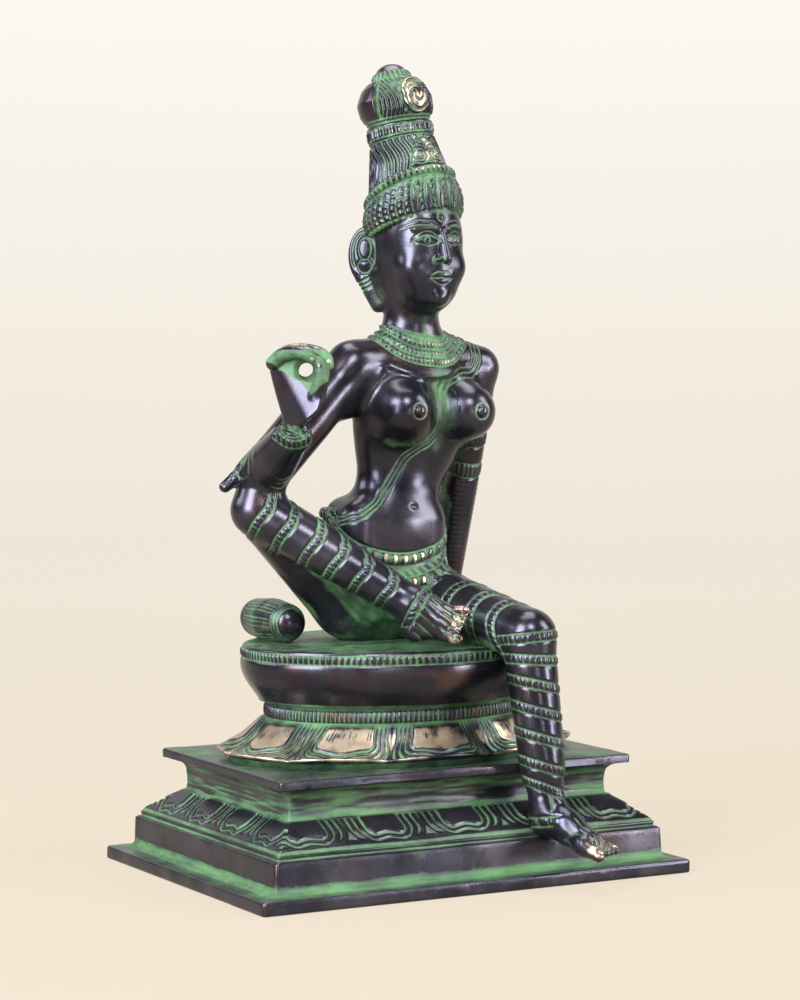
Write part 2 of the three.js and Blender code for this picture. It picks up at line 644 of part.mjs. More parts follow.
// Marching over tetrahedra: every lattice cube is cut into six along one diagonal
function skinOf(field, low, high, cell) {
  const size = high.clone().sub(low).divideScalar(cell).ceil().addScalar(1);
  const [nx, ny, nz] = size.toArray();
  const values = new Float32Array(nx * ny * nz);
  const sample = (i, j, k) => field(low.x + i * cell, low.y + j * cell, low.z + k * cell);
  // Blocks whose middle lies far from the surface take one value throughout
  const block = 5;
  const reach = block * cell * Math.sqrt(3) / 2 + cell;
  for (let k0 = 0; k0 < nz; k0 += block) {
    for (let j0 = 0; j0 < ny; j0 += block) {
      for (let i0 = 0; i0 < nx; i0 += block) {
        const half = (block - 1) / 2;
        const middle = sample(i0 + half, j0 + half, k0 + half);
        const far = Math.abs(middle) > reach;
        for (let k = k0; k < Math.min(k0 + block, nz); k += 1) {
          for (let j = j0; j < Math.min(j0 + block, ny); j += 1) {
            for (let i = i0; i < Math.min(i0 + block, nx); i += 1) {
              values[i + nx * (j + ny * k)] = far ? middle : sample(i, j, k);
            }
          }
        }
      }
    }
  }
  const step = (bits) => (bits & 1) + (bits & 2 ? nx : 0) + (bits & 4 ? nx * ny : 0);
  const steps = Array.from({ length: 8 }, (_, bits) => step(bits));
  const tetrahedra = [[0, 1, 3, 7], [0, 1, 5, 7], [0, 2, 3, 7], [0, 2, 6, 7], [0, 4, 5, 7], [0, 4, 6, 7]];
  const points = [];
  const triangles = [];
  const known = new Map();
  const corner = (c) => [
    low.x + (c % nx) * cell,
    low.y + (Math.floor(c / nx) % ny) * cell,
    low.z + Math.floor(c / (nx * ny)) * cell,
  ];
  const crossing = (c, d) => {
    const key = Math.min(c, d) * values.length + Math.max(c, d);
    if (!known.has(key)) {
      const t = Math.min(0.93, Math.max(0.07, values[c] / (values[c] - values[d])));
      const p = corner(c);
      const q = corner(d);
      known.set(key, points.length);
      points.push(new THREE.Vector3(...p.map((v, axis) => v + t * (q[axis] - v))));
    }
    return known.get(key);
  };
  const edgeA = new THREE.Vector3();
  const edgeB = new THREE.Vector3();
  const outward = new THREE.Vector3();
  const addTriangle = (a, b, c, inner, outer) => {
    edgeA.subVectors(points[b], points[a]);
    edgeB.subVectors(points[c], points[a]);
    const p = corner(inner);
    const q = corner(outer);
    outward.set(q[0] - p[0], q[1] - p[1], q[2] - p[2]);
    triangles.push(edgeA.cross(edgeB).dot(outward) > 0 ? [a, b, c] : [a, c, b]);
  };
  for (let k = 0; k + 1 < nz; k += 1) {
    for (let j = 0; j + 1 < ny; j += 1) {
      for (let i = 0; i + 1 < nx; i += 1) {
        const base = i + nx * (j + ny * k);
        const first = values[base] < 0;
        if (steps.every((s) => (values[base + s] < 0) === first)) continue;
        for (const tetrahedron of tetrahedra) {
          const corners = tetrahedron.map((bits) => base + steps[bits]);
          const inside = corners.filter((c) => values[c] < 0);
          const outside = corners.filter((c) => values[c] >= 0);
          if (inside.length === 1) {
            const [a, b, c] = outside.map((d) => crossing(inside[0], d));
            addTriangle(a, b, c, inside[0], outside[0]);
          } else if (inside.length === 3) {
            const [a, b, c] = inside.map((d) => crossing(d, outside[0]));
            addTriangle(a, b, c, inside[0], outside[0]);
          } else if (inside.length === 2) {
            const a = crossing(inside[0], outside[0]);
            const b = crossing(inside[0], outside[1]);
            const c = crossing(inside[1], outside[1]);
            const d = crossing(inside[1], outside[0]);
            addTriangle(a, b, c, inside[0], outside[1]);
            addTriangle(a, c, d, inside[1], outside[0]);
          }
        }
      }
    }
  }
  return { points, triangles };
}

// Edge collapses in order of their cost in squared distance, kept closed and unfolded throughout
function thinOut(skin, target, weightAt) {
  const { points, triangles } = skin;
  const around = points.map(() => new Set());
  triangles.forEach((triangle, id) => triangle.forEach((v) => around[v].add(id)));
  const quadrics = points.map(() => new Float64Array(10));
  const normalOf = (a, b, c) => new THREE.Vector3().subVectors(b, a).cross(new THREE.Vector3().subVectors(c, a));
  for (const [a, b, c] of triangles) {
    const n = normalOf(points[a], points[b], points[c]);
    const area = n.length();
    n.divideScalar(area || 1);
    const d = -n.dot(points[a]);
    const plane = [n.x, n.y, n.z, d];
    const weight = area * weightAt(points[a]);
    for (const v of [a, b, c]) {
      let slot = 0;
      for (let i = 0; i < 4; i += 1) {
        for (let j = i; j < 4; j += 1) {
          quadrics[v][slot] += weight * plane[i] * plane[j];
          slot += 1;
        }
      }
    }
  }
  const neighbours = (v) => {
    const found = new Set();
    for (const id of around[v]) for (const w of triangles[id]) if (w !== v) found.add(w);
    return found;
  };
  const stamps = new Uint32Array(points.length);
  const heap = [];
  const push = (entry) => {
    let i = heap.push(entry) - 1;
    while (i > 0) {
      const parent = (i - 1) >> 1;
      if (heap[parent].cost <= heap[i].cost) break;
      [heap[parent], heap[i]] = [heap[i], heap[parent]];
      i = parent;
    }
  };
  const pop = () => {
    const top = heap[0];
    const last = heap.pop();
    if (heap.length) {
      heap[0] = last;
      let i = 0;
      for (;;) {
        const left = 2 * i + 1;
        let least = i;
        if (left < heap.length && heap[left].cost < heap[least].cost) least = left;
        if (left + 1 < heap.length && heap[left + 1].cost < heap[least].cost) least = left + 1;
        if (least === i) break;
        [heap[least], heap[i]] = [heap[i], heap[least]];
        i = least;
      }
    }
    return top;
  };
  const matrix = new THREE.Matrix3();
  const offer = (a, b) => {
    const q = quadrics[a].map((value, slot) => value + quadrics[b][slot]);
    const [xx, xy, xz, xw, yy, yz, yw, zz, zw, ww] = q;
    const best = new THREE.Vector3().addVectors(points[a], points[b]).multiplyScalar(0.5);
    matrix.set(xx, xy, xz, xy, yy, yz, xz, yz, zz);
    const scale = (xx + yy + zz) / 3;
    if (Math.abs(matrix.determinant()) > 1e-3 * scale ** 3) {
      const solved = new THREE.Vector3(-xw, -yw, -zw).applyMatrix3(matrix.invert());
      if (solved.distanceTo(best) < 2 * points[a].distanceTo(points[b])) best.copy(solved);
    }
    const { x, y, z } = best;
    const error = xx * x * x + yy * y * y + zz * z * z + ww
      + 2 * (xy * x * y + xz * x * z + yz * y * z + xw * x + yw * y + zw * z);
    const evenness = 2e-3 * scale * points[a].distanceToSquared(points[b]);
    push({ cost: Math.max(0, error) + evenness, a, b, best, stampA: stamps[a], stampB: stamps[b] });
  };
  const keepsShape = (v, other, best) => {
    for (const id of around[v]) {
      const triangle = triangles[id];
      if (triangle.includes(other)) continue;
      const before = normalOf(...triangle.map((w) => points[w]));
      const after = normalOf(...triangle.map((w) => (w === v ? best : points[w])));
      if (before.dot(after) < 0.3 * before.length() * after.length() || after.length() < 1e-3) return false;
    }
    return true;
  };
  for (let v = 0; v < points.length; v += 1) for (const w of neighbours(v)) if (v < w) offer(v, w);
  let left = triangles.length;
  while (left > target && heap.length) {
    const { a, b, best, stampA, stampB } = pop();
    if (stamps[a] !== stampA || stamps[b] !== stampB) continue;
    const ringA = neighbours(a);
    const shared = [...neighbours(b)].filter((w) => ringA.has(w));
    if (shared.length !== 2 || shared.some((w) => around[w].size < 4)) continue;
    if (!keepsShape(a, b, best) || !keepsShape(b, a, best)) continue;
    for (const id of [...around[b]]) {
      const triangle = triangles[id];
      if (triangle.includes(a)) {
        triangle.forEach((w) => around[w].delete(id));
        triangles[id] = null;
        left -= 1;
      } else {
        triangle[triangle.indexOf(b)] = a;
        around[a].add(id);
      }
    }
    around[b].clear();
    points[a] = best;
    quadrics[a] = quadrics[a].map((value, slot) => value + quadrics[b][slot]);
    stamps[b] += 1;
    stamps[a] += 1;
    for (const w of neighbours(a)) offer(a, w);
  }
  return { points, triangles: triangles.filter(Boolean) };
}

function makeBody() {
  const { ankleRight, ankleLeft } = pose;
  const forms = [
    ...torsoForms(),
    ...breastForms(),
    ...headForms(),
    ...earForms(-1),
    ...earForms(1),
    ...rightLegForms(),
    ...leftLegForms(),
    ...armForms(),
    ...handForms(),
    ...footForms(ankleRight, at(-12.5, -38, 8.5), at(-1, -40.5, 10),
      new THREE.Vector3(-0.72, -0.15, -0.68), new THREE.Vector3(0.75, -0.6, -0.3)),
    ...footForms(ankleLeft, at(30.5, shinY - 1, -64), at(38, shinY - 20, -70),
      new THREE.Vector3(-0.9, -0.4, 0), new THREE.Vector3(0.34, -0.88, -0.32)),
    ...necklaceForms(),
    ...beltForms(),
    ...bolsterForm(),
  ];
  const low = at(-76, -100, -80);
  const high = at(52, 42, 180);
  return skinOf(melt(forms), low, high, sampling);
}

// Face, hand and feet keep more of their shape than the rest
function fineAt(point) {
  const spots = [
    { centre: at(10, -14, 144), radius: 17 },
    { centre: at(-58, -30, 104), radius: 19 },
    { centre: at(0, -42, 10), radius: 11 },
    { centre: at(38, shinY - 24, -70), radius: 11 },
  ];
  return spots.some(({ centre, radius }) => point.distanceTo(centre) < radius * unit) ? fineWeight : 1;
}

function makeFigure() {
  const skin = thinOut(makeBody(), bodyFaces, fineAt);
  const body = toSolid(meshGeometry(skin.points, skin.triangles));
  const dressed = makeBands().reduce((sum, band) => sum.add(band), body);
  return toGeometry(dressed.subtract(plinthSolid(plinthGap)).add(makeSeat()).add(makeCrown()));
}

const figure = new THREE.Mesh(makeFigure(), metal(0x2b2a2e, 0.38));
figure.name = 'figure_on_lotus_seat';

const plinth = new THREE.Mesh(toGeometry(plinthSolid(0)), metal(0x2d302f, 0.45));
plinth.name = 'stepped_plinth';

const model = new THREE.Group();
model.add(plinth, figure);

export default model;
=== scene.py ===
"""Looks of a cast goddess figure on a cushion and lotus seat, above a stepped oblong plinth.

Sizes are in millimetres until a mesh is made. Figure coordinates start at the plinth's axis, on the cushion's
top, with +Z up; the figure faces -Y and her left side is +X.
"""
import math
from types import SimpleNamespace

import bpy
import numpy as np
import openvdb
from mathutils import Matrix, Vector


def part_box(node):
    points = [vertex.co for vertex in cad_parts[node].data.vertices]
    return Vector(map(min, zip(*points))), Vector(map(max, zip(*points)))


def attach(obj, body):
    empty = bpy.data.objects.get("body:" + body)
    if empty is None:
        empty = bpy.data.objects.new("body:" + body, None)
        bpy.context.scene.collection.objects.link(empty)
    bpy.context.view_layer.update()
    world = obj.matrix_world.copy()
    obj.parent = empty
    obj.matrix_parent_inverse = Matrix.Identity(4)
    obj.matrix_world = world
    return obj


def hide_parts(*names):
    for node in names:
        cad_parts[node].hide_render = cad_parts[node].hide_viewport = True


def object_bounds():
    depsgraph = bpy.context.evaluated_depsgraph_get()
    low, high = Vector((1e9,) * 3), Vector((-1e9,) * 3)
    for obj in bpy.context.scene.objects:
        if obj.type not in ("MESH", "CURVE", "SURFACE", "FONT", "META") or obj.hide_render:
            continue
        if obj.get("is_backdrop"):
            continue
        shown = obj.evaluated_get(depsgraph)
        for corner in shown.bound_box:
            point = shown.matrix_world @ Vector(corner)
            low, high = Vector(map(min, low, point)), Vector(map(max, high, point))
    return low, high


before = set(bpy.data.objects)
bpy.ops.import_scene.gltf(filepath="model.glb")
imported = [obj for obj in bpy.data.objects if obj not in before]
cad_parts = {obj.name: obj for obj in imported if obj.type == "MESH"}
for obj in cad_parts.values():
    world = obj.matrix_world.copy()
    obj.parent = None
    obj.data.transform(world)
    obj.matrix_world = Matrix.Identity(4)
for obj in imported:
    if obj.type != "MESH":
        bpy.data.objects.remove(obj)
CAD_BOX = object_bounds()

MM = 0.001
FIGURE = "figure_on_lotus_seat"
PLINTH = "stepped_plinth"


def top_of(cad_node):
    return (np.array(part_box(cad_node)[1]) / MM)[2]


FIGURE_HEIGHT = 218.0
PLINTH_TOP = top_of(PLINTH)
SEAT_TOP = top_of(FIGURE) - FIGURE_HEIGHT


# Small helpers


def vec(*values):
    return np.array(values, np.float32)


def unit_vector(v):
    v = np.asarray(v, np.float32)
    return v / np.linalg.norm(v)


def lengths(rows):
    return np.linalg.norm(rows, axis=1)


def between(a, b, share):
    return a + (b - a) * share


def held(x):
    """x kept from 0 to 1."""
    return np.clip(x, 0, 1)


def smoothstep(low, high, x):
    t = held((x - low) / (high - low))
    return t * t * (3 - 2 * t)


def hill(x, width):
    """1 at zero, falling to 0 over about two widths either side."""
    return np.exp(-(x / width) ** 2)


def window(x, low, high, soft):
    return smoothstep(low - soft, low + soft, x) * (1 - smoothstep(high - soft, high + soft, x))


def wrapped(angle):
    return (angle + np.pi) % (2 * np.pi) - np.pi


def value_noise(points, scale, seed):
    """Smooth noise from -1 to 1 over points in space, from a hash of each lattice corner."""
    q = points / scale
    base = np.floor(q).astype(np.int64)
    f = q - base
    f = f * f * (3 - 2 * f)
    total = np.zeros(len(points))
    for corner in range(8):
        offset = np.array([corner & 1, corner >> 1 & 1, corner >> 2 & 1])
        cell = base + offset
        n = cell[:, 0] * 73856093 ^ cell[:, 1] * 19349663 ^ cell[:, 2] * 83492791 ^ seed * 2654435761
        n = (n ^ n >> 13) * 1274126177 & 0xFFFFFF
        weight = np.prod(np.where(offset, f, 1 - f), axis=1)
        total += weight * (n / 0x7FFFFF - 1)
    return total


def smooth_path(places, steps=8):
    """Catmull-Rom curve through a few places."""
    q = np.array([places[0], *places, places[-1]], float)
    path = []
    for k in range(1, len(q) - 2):
        for t in np.arange(steps) / steps:
            path.append(0.5 * (2 * q[k] + (q[k + 1] - q[k - 1]) * t
                               + (2 * q[k - 1] - 5 * q[k] + 4 * q[k + 1] - q[k + 2]) * t ** 2
                               + (3 * q[k] - q[k - 1] - 3 * q[k + 1] + q[k + 2]) * t ** 3))
    path.append(q[-2])
    return path


# Distances to simple forms. Each form is (distance function, centre, reach, blend width).


def cone(a, b, ra, rb, width):
    a, b = vec(*a), vec(*b)
    axis = b - a
    length2 = float(axis @ axis)

    def distance(p):
        q = p - a
        t = held(q @ axis / length2)
        return lengths(q - t[:, None] * axis) - (ra + t * (rb - ra))

    return distance, (a + b) / 2, math.sqrt(length2) / 2 + max(ra, rb), width


def limb(stations, width):
    """One form through several places, each with its own radius."""
    parts = [cone(p, q, rp, rq, 0) for (p, rp), (q, rq) in zip(stations, stations[1:])]
    ends = np.array([place for place, _ in stations])
    centre = (ends.min(0) + ends.max(0)) / 2
    reach = max(np.linalg.norm(place - centre) + radius for place, radius in stations)

    def distance(p):
        return np.minimum.reduce([part[0](p) for part in parts])

    return distance, centre, reach, width


def turn_matrix(degrees):
    x, y, z = (Matrix.Rotation(math.radians(angle), 3, axis) for angle, axis in zip(degrees, "XYZ"))
    return np.array(x @ y @ z, np.float32)


def egg(centre, radii, width, turn=(0, 0, 0)):
    centre, radii = vec(*centre), vec(*radii)
    rotation = turn_matrix(turn)

    def distance(p):
        q = (p - centre) @ rotation
        k0 = lengths(q / radii)
        k1 = lengths(q / radii ** 2)
        return k0 * (k0 - 1) / np.maximum(k1, 1e-6)

    return distance, centre, float(radii.max()), width


def soft_box(centre, half, round_by, width):
    centre, half = vec(*centre), vec(*half)

    def distance(p):
        q = np.abs(p - centre) - half + round_by
        outside = lengths(np.maximum(q, 0))
        return outside + np.minimum(q.max(axis=1), 0) - round_by

    return distance, centre, float(np.linalg.norm(half)), width


def facets(planes, centre, reach, soft, width):
    """A form between planes, each given by a place on it and the way it faces, with softened edges."""
    ways = np.array([unit_vector(way) for _, way in planes], np.float32)
    offsets = (np.array([place for place, _ in planes], np.float32) * ways).sum(axis=1)

    def distance(p):
        d = p @ ways.T - offsets
        top = d.max(axis=1)
        return top + soft * np.log(np.exp((d - top[:, None]) / soft).sum(axis=1))

    return distance, vec(*centre), reach, width


FAR = 40.0  # The distance given where no form is near


def melt(forms, points, margin=10.0):
    """Joins forms in order, each blended over its own width, and skips a form where it is far away.

    A form whose width is below zero is cut out of those before it."""
    total = np.full(len(points), FAR, np.float32)
    for distance, centre, reach, width in forms:
        near = np.flatnonzero(((points - centre) ** 2).sum(axis=1) < (reach + margin) ** 2)
        if not len(near):
            continue
        d = distance(points[near])
        old = total[near]
        if width < 0:
            total[near] = np.maximum(old, -d)
            continue
        joined = np.minimum(old, d)
        if width:
            joined -= np.maximum(width - np.abs(old - d), 0) ** 2 / (4 * width)
        total[near] = joined
    return total


# Pose, in figure coordinates

SHIN_Y = -57.9
HEAD = vec(10, -1.5, 150)
hip_right = vec(-16, 7, 15)
knee_right = vec(-58.4, 0, 51)
ankle_right = vec(-12, -38, 16)
hip_left = vec(16, 3, 14)
knee_left = vec(27.6, SHIN_Y + 6, 4.5)
ankle_left = vec(31, SHIN_Y - 2, -59)
shoulder_right = vec(-17, 3, 103.7)
elbow_right = vec(-56, 0, 64)
wrist_right = vec(-58, -29, 80.5)
shoulder_left = vec(39.2, 6, 102.5)
elbow_left = vec(36.2, 14, 57)
wrist_left = vec(34, 23, 14)
neck_foot = vec(9.5, 5, 108)
neck_top = vec(8.8, 3.5, 128)


def torso_forms():
    collar = (10, 5, 108)
    return [
        egg((-2, 8, 15), (26, 18, 17), 0),
        soft_box((-1.6, 6, 34), (22.6, 15, 20.5), 10, 7),
        egg((0.5, 3.5, 44), (16.5, 13.5, 17), 6),
        egg((3.5, 5, 57), (16, 11, 13), 7),
        egg((7, 4.5, 70), (20, 12, 14), 7),
        egg((8.2, 4, 82.5), (23.4, 12.5, 17), 7),
        egg((10, 5, 98), (26, 11, 12.5), 7),
        cone(collar, shoulder_right, 8.5, 8, 6),
        cone(collar, shoulder_left, 8.5, 8, 6),
        cone((7, 5, 114), (-9, 4, 105), 6.5, 6, 6),
        cone((12, 5, 113), (30, 5, 106), 6.5, 6, 6),
        cone((-13, 4, 93), (-20, 3, 89), 5.5, 4.8, 5),
        cone(neck_foot, neck_top, 11.4, 10.2, 5),
    ]


BREASTS = [(vec(-0.5, -8, 87), 11.3), (vec(27.2, -7.5, 86.5), 10.8)]


def breast_tip(centre, r):
    return centre + vec(0.04 * r, -r, 0.02 * r)


def breast_forms():
    forms = []
    for centre, r in BREASTS:
        forms += [egg(centre, (r, r, r), 9), egg(breast_tip(centre, r), (2.2, 1.6, 2.2), 0.6)]
    return forms


LAPPET = (-52, 2, 74), (-70.2, 3, 59.8), 4, 2.2


def bone(a, b, stations, width):
    """A limb from a to b through stations, each a share of the way and a radius."""
    ends = {0: a, 1: b}
    return limb([(ends[t] if t in ends else between(a, b, t), radius) for t, radius in stations], width)


def arm_forms():
    return [
        bone(shoulder_right, elbow_right, [(0, 8.8), (0.5, 9.4), (1, 9.2)], 6),
        bone(elbow_right, wrist_right, [(0, 9), (0.4, 8.6), (1, 6.4)], 2),
        cone(*LAPPET, 2),
        limb([(shoulder_left, 8.1), (elbow_left, 7.3), (wrist_left, 6.2)], 3),
        egg((34.5, 27, 5), (7.5, 10, 5), 3),
    ]


def web_forms():
    """The cloth between the raised shin and the thigh."""
    forms = []
    for t in np.linspace(0.25, 1, 12):
        low = between(knee_right, hip_right, t)
        low[2] = max(low[2] - 5 * t, 0)
        forms.append(cone(between(knee_right, ankle_right, t), low, 4, 4, 4))
    return forms


def leg_forms():
    return [
        bone(hip_right, knee_right, [(0, 14.5), (0.5, 12), (1, 9.5)], 5),
        bone(knee_right, ankle_right, [(0, 9.5), (0.35, 9.2), (0.7, 7.6), (1, 6.2)], 2),
        *web_forms(),
        bone(hip_left, knee_left, [(0, 14), (0.55, 12), (1, 10.2)], 5),
        bone(knee_left, ankle_left, [(0, 10), (0.3, 9.3), (0.75, 8.5), (0.92, 6.4), (1, 5.4)], 2),
    ]


TOE_PITCH = 2.4
TOE_TURN = 0.1  # Sideways share of the big toe's way
TOE_FAN = 0.09  # What each next toe turns the other way
BIG_TOE, SMALL_TOE = (8.6, 2.3), (7.2, 1.75)  # Length and radius


def toe_lines(ball, across, along):
    """Root, tip and radius of each toe, the big one first."""
    side, forward = unit_vector(across), unit_vector(along)
    for toe in range(5):
        length, radius = SMALL_TOE if toe else BIG_TOE
        root = ball + side * (2 * TOE_PITCH - TOE_PITCH * toe)
        way = unit_vector(forward + side * (TOE_TURN - TOE_FAN * toe))
        yield root, root + way * length, radius


def foot_forms(ankle, heel, ball, across, along):
    side = unit_vector(across)
    instep = between(ankle, ball, 0.5) + vec(0, 0, 0.6)
    forms = [
        cone(ankle, heel, 5.2, 4.4, 4),
        cone(heel, ball, 4.2, 3.6, 5),
        cone(ankle, instep, 5, 4.4, 5),
        cone(instep, ball, 4.4, 3.2, 5),
        cone(ball + side * 3.8, ball - side * 3.8, 3.3, 3, 4),
    ]
    for root, tip, radius in toe_lines(ball, across, along):
        forms.append(cone(root, tip, radius + 0.4, radius, 0.6))
    return forms


RIGHT_FOOT = dict(ball=vec(-3.4, -40.5, 10.6), across=(-0.62, -0.12, -0.77), along=(0.78, -0.6, -0.2))
LEFT_FOOT = dict(ball=vec(38, SHIN_Y - 20, -70), across=(-0.9, -0.4, 0), along=(0.34, -0.88, -0.32))

HAND_ACROSS = vec(0.87, -0.49, 0)
HAND_OUT = vec(-0.49, -0.87, 0)


def hand(u, v, w):
    """Place in the raised hand's own frame: across, up along the palm, out towards the viewer."""
    return wrist_right + HAND_ACROSS * u + HAND_OUT * w + vec(0, 0, v)


def hand_way(u, v, w):
    return HAND_ACROSS * u + HAND_OUT * w + vec(0, 0, v)


def hand_block(sides, centre, reach, soft, width):
    """A block between planes in the hand's frame."""
    return facets([(hand(*place), hand_way(*way)) for place, way in sides], hand(*centre), reach, soft, width)


def finger(places, radius, taper, width):
    path = smooth_path([hand(*place) for place in places], 4)
    return limb([(place, radius - taper * k / len(path)) for k, place in enumerate(path)], width)


# A place on each of the palm's two outer planes, in the hand's frame, and the way it faces
PALM_LIGHT = (4.1, 5.2, 7.4), (-0.37, 0.22, 0.9)
PALM_DARK = (4.1, 5.2, 7.4), (-0.76, -0.12, 0.64)
BEHIND_DARK = (4.8, 5.3, 6.8)


def hand_forms():
    """A wedge-shaped palm with a hole where thumb and finger meet, and fingers that curl over its top."""
    sides = [
        PALM_LIGHT, PALM_DARK, ((9.9, 10, 0), (0.966, -0.256, 0)), ((4.4, 4.2, 0), (0.637, -0.77, 0)),
        ((-5.8, 9.7, 0), (-0.956, -0.294, 0)), ((0, 15, -6), (0, 0, -1)),
        ((-3, 27.4, 0), (-0.35, 1, 0.1)), ((9.6, 27.2, 0), (0.5, 0.85, 0)), ((13, 23, 0), (0.95, 0.3, 0)),
    ]
    # The end of the forearm is trimmed a little behind the palm's dark side, above the bracelet
    trim = [
        (BEHIND_DARK, tuple(-part for part in PALM_DARK[1])), ((0, -0.2, 0), (-0.3, -1, 0)),
        ((0, 14, 0), (0, 1, 0)), ((0, 0, 16), (0, 0, 1)), ((-14, 0, 0), (-1, 0, 0)), ((8, 0, 0), (1, 0, 0)),
    ]
    return [
        hand_block(trim, (-3, 6, 6), 20, 0.4, -1),
        cone(hand(1.8, -2, -3.2), hand(1.8, 8, -4.2), 4.6, 3.2, 1),
        hand_block(sides, (1, 16, 0), 26, 0.45, 1.5),
        egg(hand(0.8, 24.2, 4.2), (7, 3.2, 5), -1),
        cone(hand(2.9, 24.2, -12), hand(6.3, 20.4, 12), 2.7, 3.2, -1),
        finger([(-5, 25.8, -6), (-2.6, 29.2, -4.5), (3, 30, -2), (8.6, 29.2, 1.2), (12, 27, 3.6),
                (12.6, 24.6, 4.2)], 2.75, 0.9, 0.5),
        finger([(-7.6, 25.2, -2.2), (-4.4, 28.2, 0.2), (0.4, 29.2, 3.4), (4.4, 28.5, 5.6), (7, 26.6, 6.2)],
               2.75, 0.9, 0.5),
        finger([(8.4, 13, 4.2), (9.7, 18.4, 5.8), (9.9, 23, 6.4), (9.2, 26, 6)], 3.2, 1.5, 0.8),
    ]


def necklace_forms():
    return [
        egg((9.5, 2.5, 110.5), (14, 13, 3.2), 3, (24, 0, 0)),
        egg((9.5, 0.5, 107), (17, 14.5, 3), 4, (30, 0, 0)),
    ]


BELT_CENTRE = vec(-2, 6, 0)
BELT_SIZE = (23.0, 15.5)
BELTS = [(48, 17), (42, 20)]  # Level of each belt at the back, and how far it drops in front


def belt_forms():
    forms = []
    for height, drop in BELTS:
        stations = []
        for angle in np.linspace(0, 2 * np.pi, 33):
            place = BELT_CENTRE + vec(BELT_SIZE[0] * np.cos(angle), BELT_SIZE[1] * np.sin(angle),
                                      height - drop * max(0, -np.sin(angle)))
            stations.append((place, 2.1))
        forms.append(limb(stations, 1))
    return forms


BOLSTER = dict(x=-42, front=9, back=31, radius=8.4, sunk=0.9)


def on_bolster(y):
    return vec(BOLSTER["x"], y, BOLSTER["radius"] - BOLSTER["sunk"])


def bolster_form():
    front, back, radius = BOLSTER["front"], BOLSTER["back"], BOLSTER["radius"]
    return limb([(on_bolster(front), radius - 1), (on_bolster((front + back) / 2), radius),
                 (on_bolster(back), radius - 1)], 1)


def face(x, y, z):
    """A place that is x to the side of the head's middle."""
    return (HEAD[0] + x, y, z)


EAR = dict(out=16.4, y=11, z=145.5, turn=38)
LOBE = dict(top=(17, 11.5, 136.5), foot=(12.8, 8.5, 126.5), radii=(3, 2.6))


def lobe_ends(side):
    return [face(side * out, y, z) for out, y, z in (LOBE["top"], LOBE["foot"])]


def head_forms():
    forms = [
        egg(HEAD, (15.8, 17, 24), 3),
        egg(face(0, -7.5, 135), (11, 10, 11), 6),
        egg(face(0, 5.5, 150), (16, 13, 20), 3),
        egg(face(-1, 5, 139), (13.5, 11, 15), 4),
        cone(face(0, -17.8, 154), face(0, -21, 144.2), 1.3, 2.1, 1.4),
        cone(face(-4, -16.4, 138.3), face(4, -16.4, 138.3), 1.2, 1.2, 1),
        cone(face(-3, -16.4, 135.9), face(3, -16.4, 135.9), 1.4, 1.4, 0.6),
        egg(face(0, -14.6, 129.8), (4.4, 3.4, 3.4), 2),
    ]
    for side in (-1, 1):
        forms += [
            cone(face(side * 2.6, -18.2, 155.2), face(side * 9.6, -14.2, 155), 1.2, 0.8, 1.4),
            egg(face(side * 5.8, -15.6, 150.8), (3.9, 1.9, 2), 0.8),
            egg(face(side * 8.2, -10.5, 141), (5, 5, 5), 4),
            egg(face(side * 2.4, -18.6, 143.6), (1.6, 1.8, 1.3), 1),
            egg(face(side * EAR["out"], EAR["y"], EAR["z"]), (7, 2.6, 11), 1.5, (0, 0, side * EAR["turn"])),
            cone(*lobe_ends(side), *LOBE["radii"], 1.5),
            cone(face(side * 11.5, 7, 138), face(side * 9.5, 6.5, 129), 5, 3.6, 3),
        ]
    return forms


FIGURE_FORMS = [
    *torso_forms(), *breast_forms(), *head_forms(), *leg_forms(), *arm_forms(), *hand_forms(),
    *foot_forms(ankle_right, vec(-12.5, -38, 8.5), **RIGHT_FOOT),
    *foot_forms(ankle_left, vec(30.5, SHIN_Y - 1, -64), **LEFT_FOOT),
    *necklace_forms(), *belt_forms(), bolster_form(),
]


def body_field(points):
    return melt(FIGURE_FORMS, points)


def body_normals(points, step=0.25):
    slope = np.stack([body_field(points + step * axis) - body_field(points - step * axis)
                      for axis in np.eye(3, dtype=np.float32)], -1)
    return slope / np.maximum(lengths(slope), 1e-6)[:, None]


# Skins: a closed mesh over a field of forms

HALF_DIAGONAL = 0.87  # Of a cube, in shares of its side


def skin(field, low, high, cell):
    """Points and triangles where the field is zero, sampled finely only near the surface."""
    block = 5
    coarse = cell * block
    count = np.ceil((high - low) / coarse).astype(int) + 1
    index = np.stack(np.meshgrid(*[np.arange(n) for n in count], indexing="ij"), -1).reshape(-1, 3)
    middle = field((low + (index + 0.5) * coarse).astype(np.float32))
    near = np.abs(middle) < coarse * HALF_DIAGONAL + cell
    values = np.where(middle < 0, -coarse, coarse).reshape(count).astype(np.float32)
    for axis in range(3):
        values = np.repeat(values, block, axis)
    offsets = np.stack(np.meshgrid(*[np.arange(block)] * 3, indexing="ij"), -1).reshape(-1, 3)
    cells = (index[near][:, None, :] * block + offsets).reshape(-1, 3)
    values[tuple(cells.T)] = field((low + cells * cell).astype(np.float32))
    grid = openvdb.FloatGrid(coarse)
    grid.copyFromArray(values)
    points, triangles, quads = grid.convertToPolygons(0.0, 0.0)
    points = points.astype(np.float32) * cell + low
    # One step onto the exact surface
    step = 0.3 * cell
    value = field(points)
    slope = np.stack([field(points + step * axis) - value for axis in np.eye(3, dtype=np.float32)], -1) / step
    steep = np.maximum((slope ** 2).sum(axis=1), 0.25)
    points -= np.clip(value / steep, -cell, cell)[:, None] * slope
    if len(triangles):
        quads = np.concatenate([quads, np.column_stack([triangles, np.full(len(triangles), -1)])])
    return points, quads


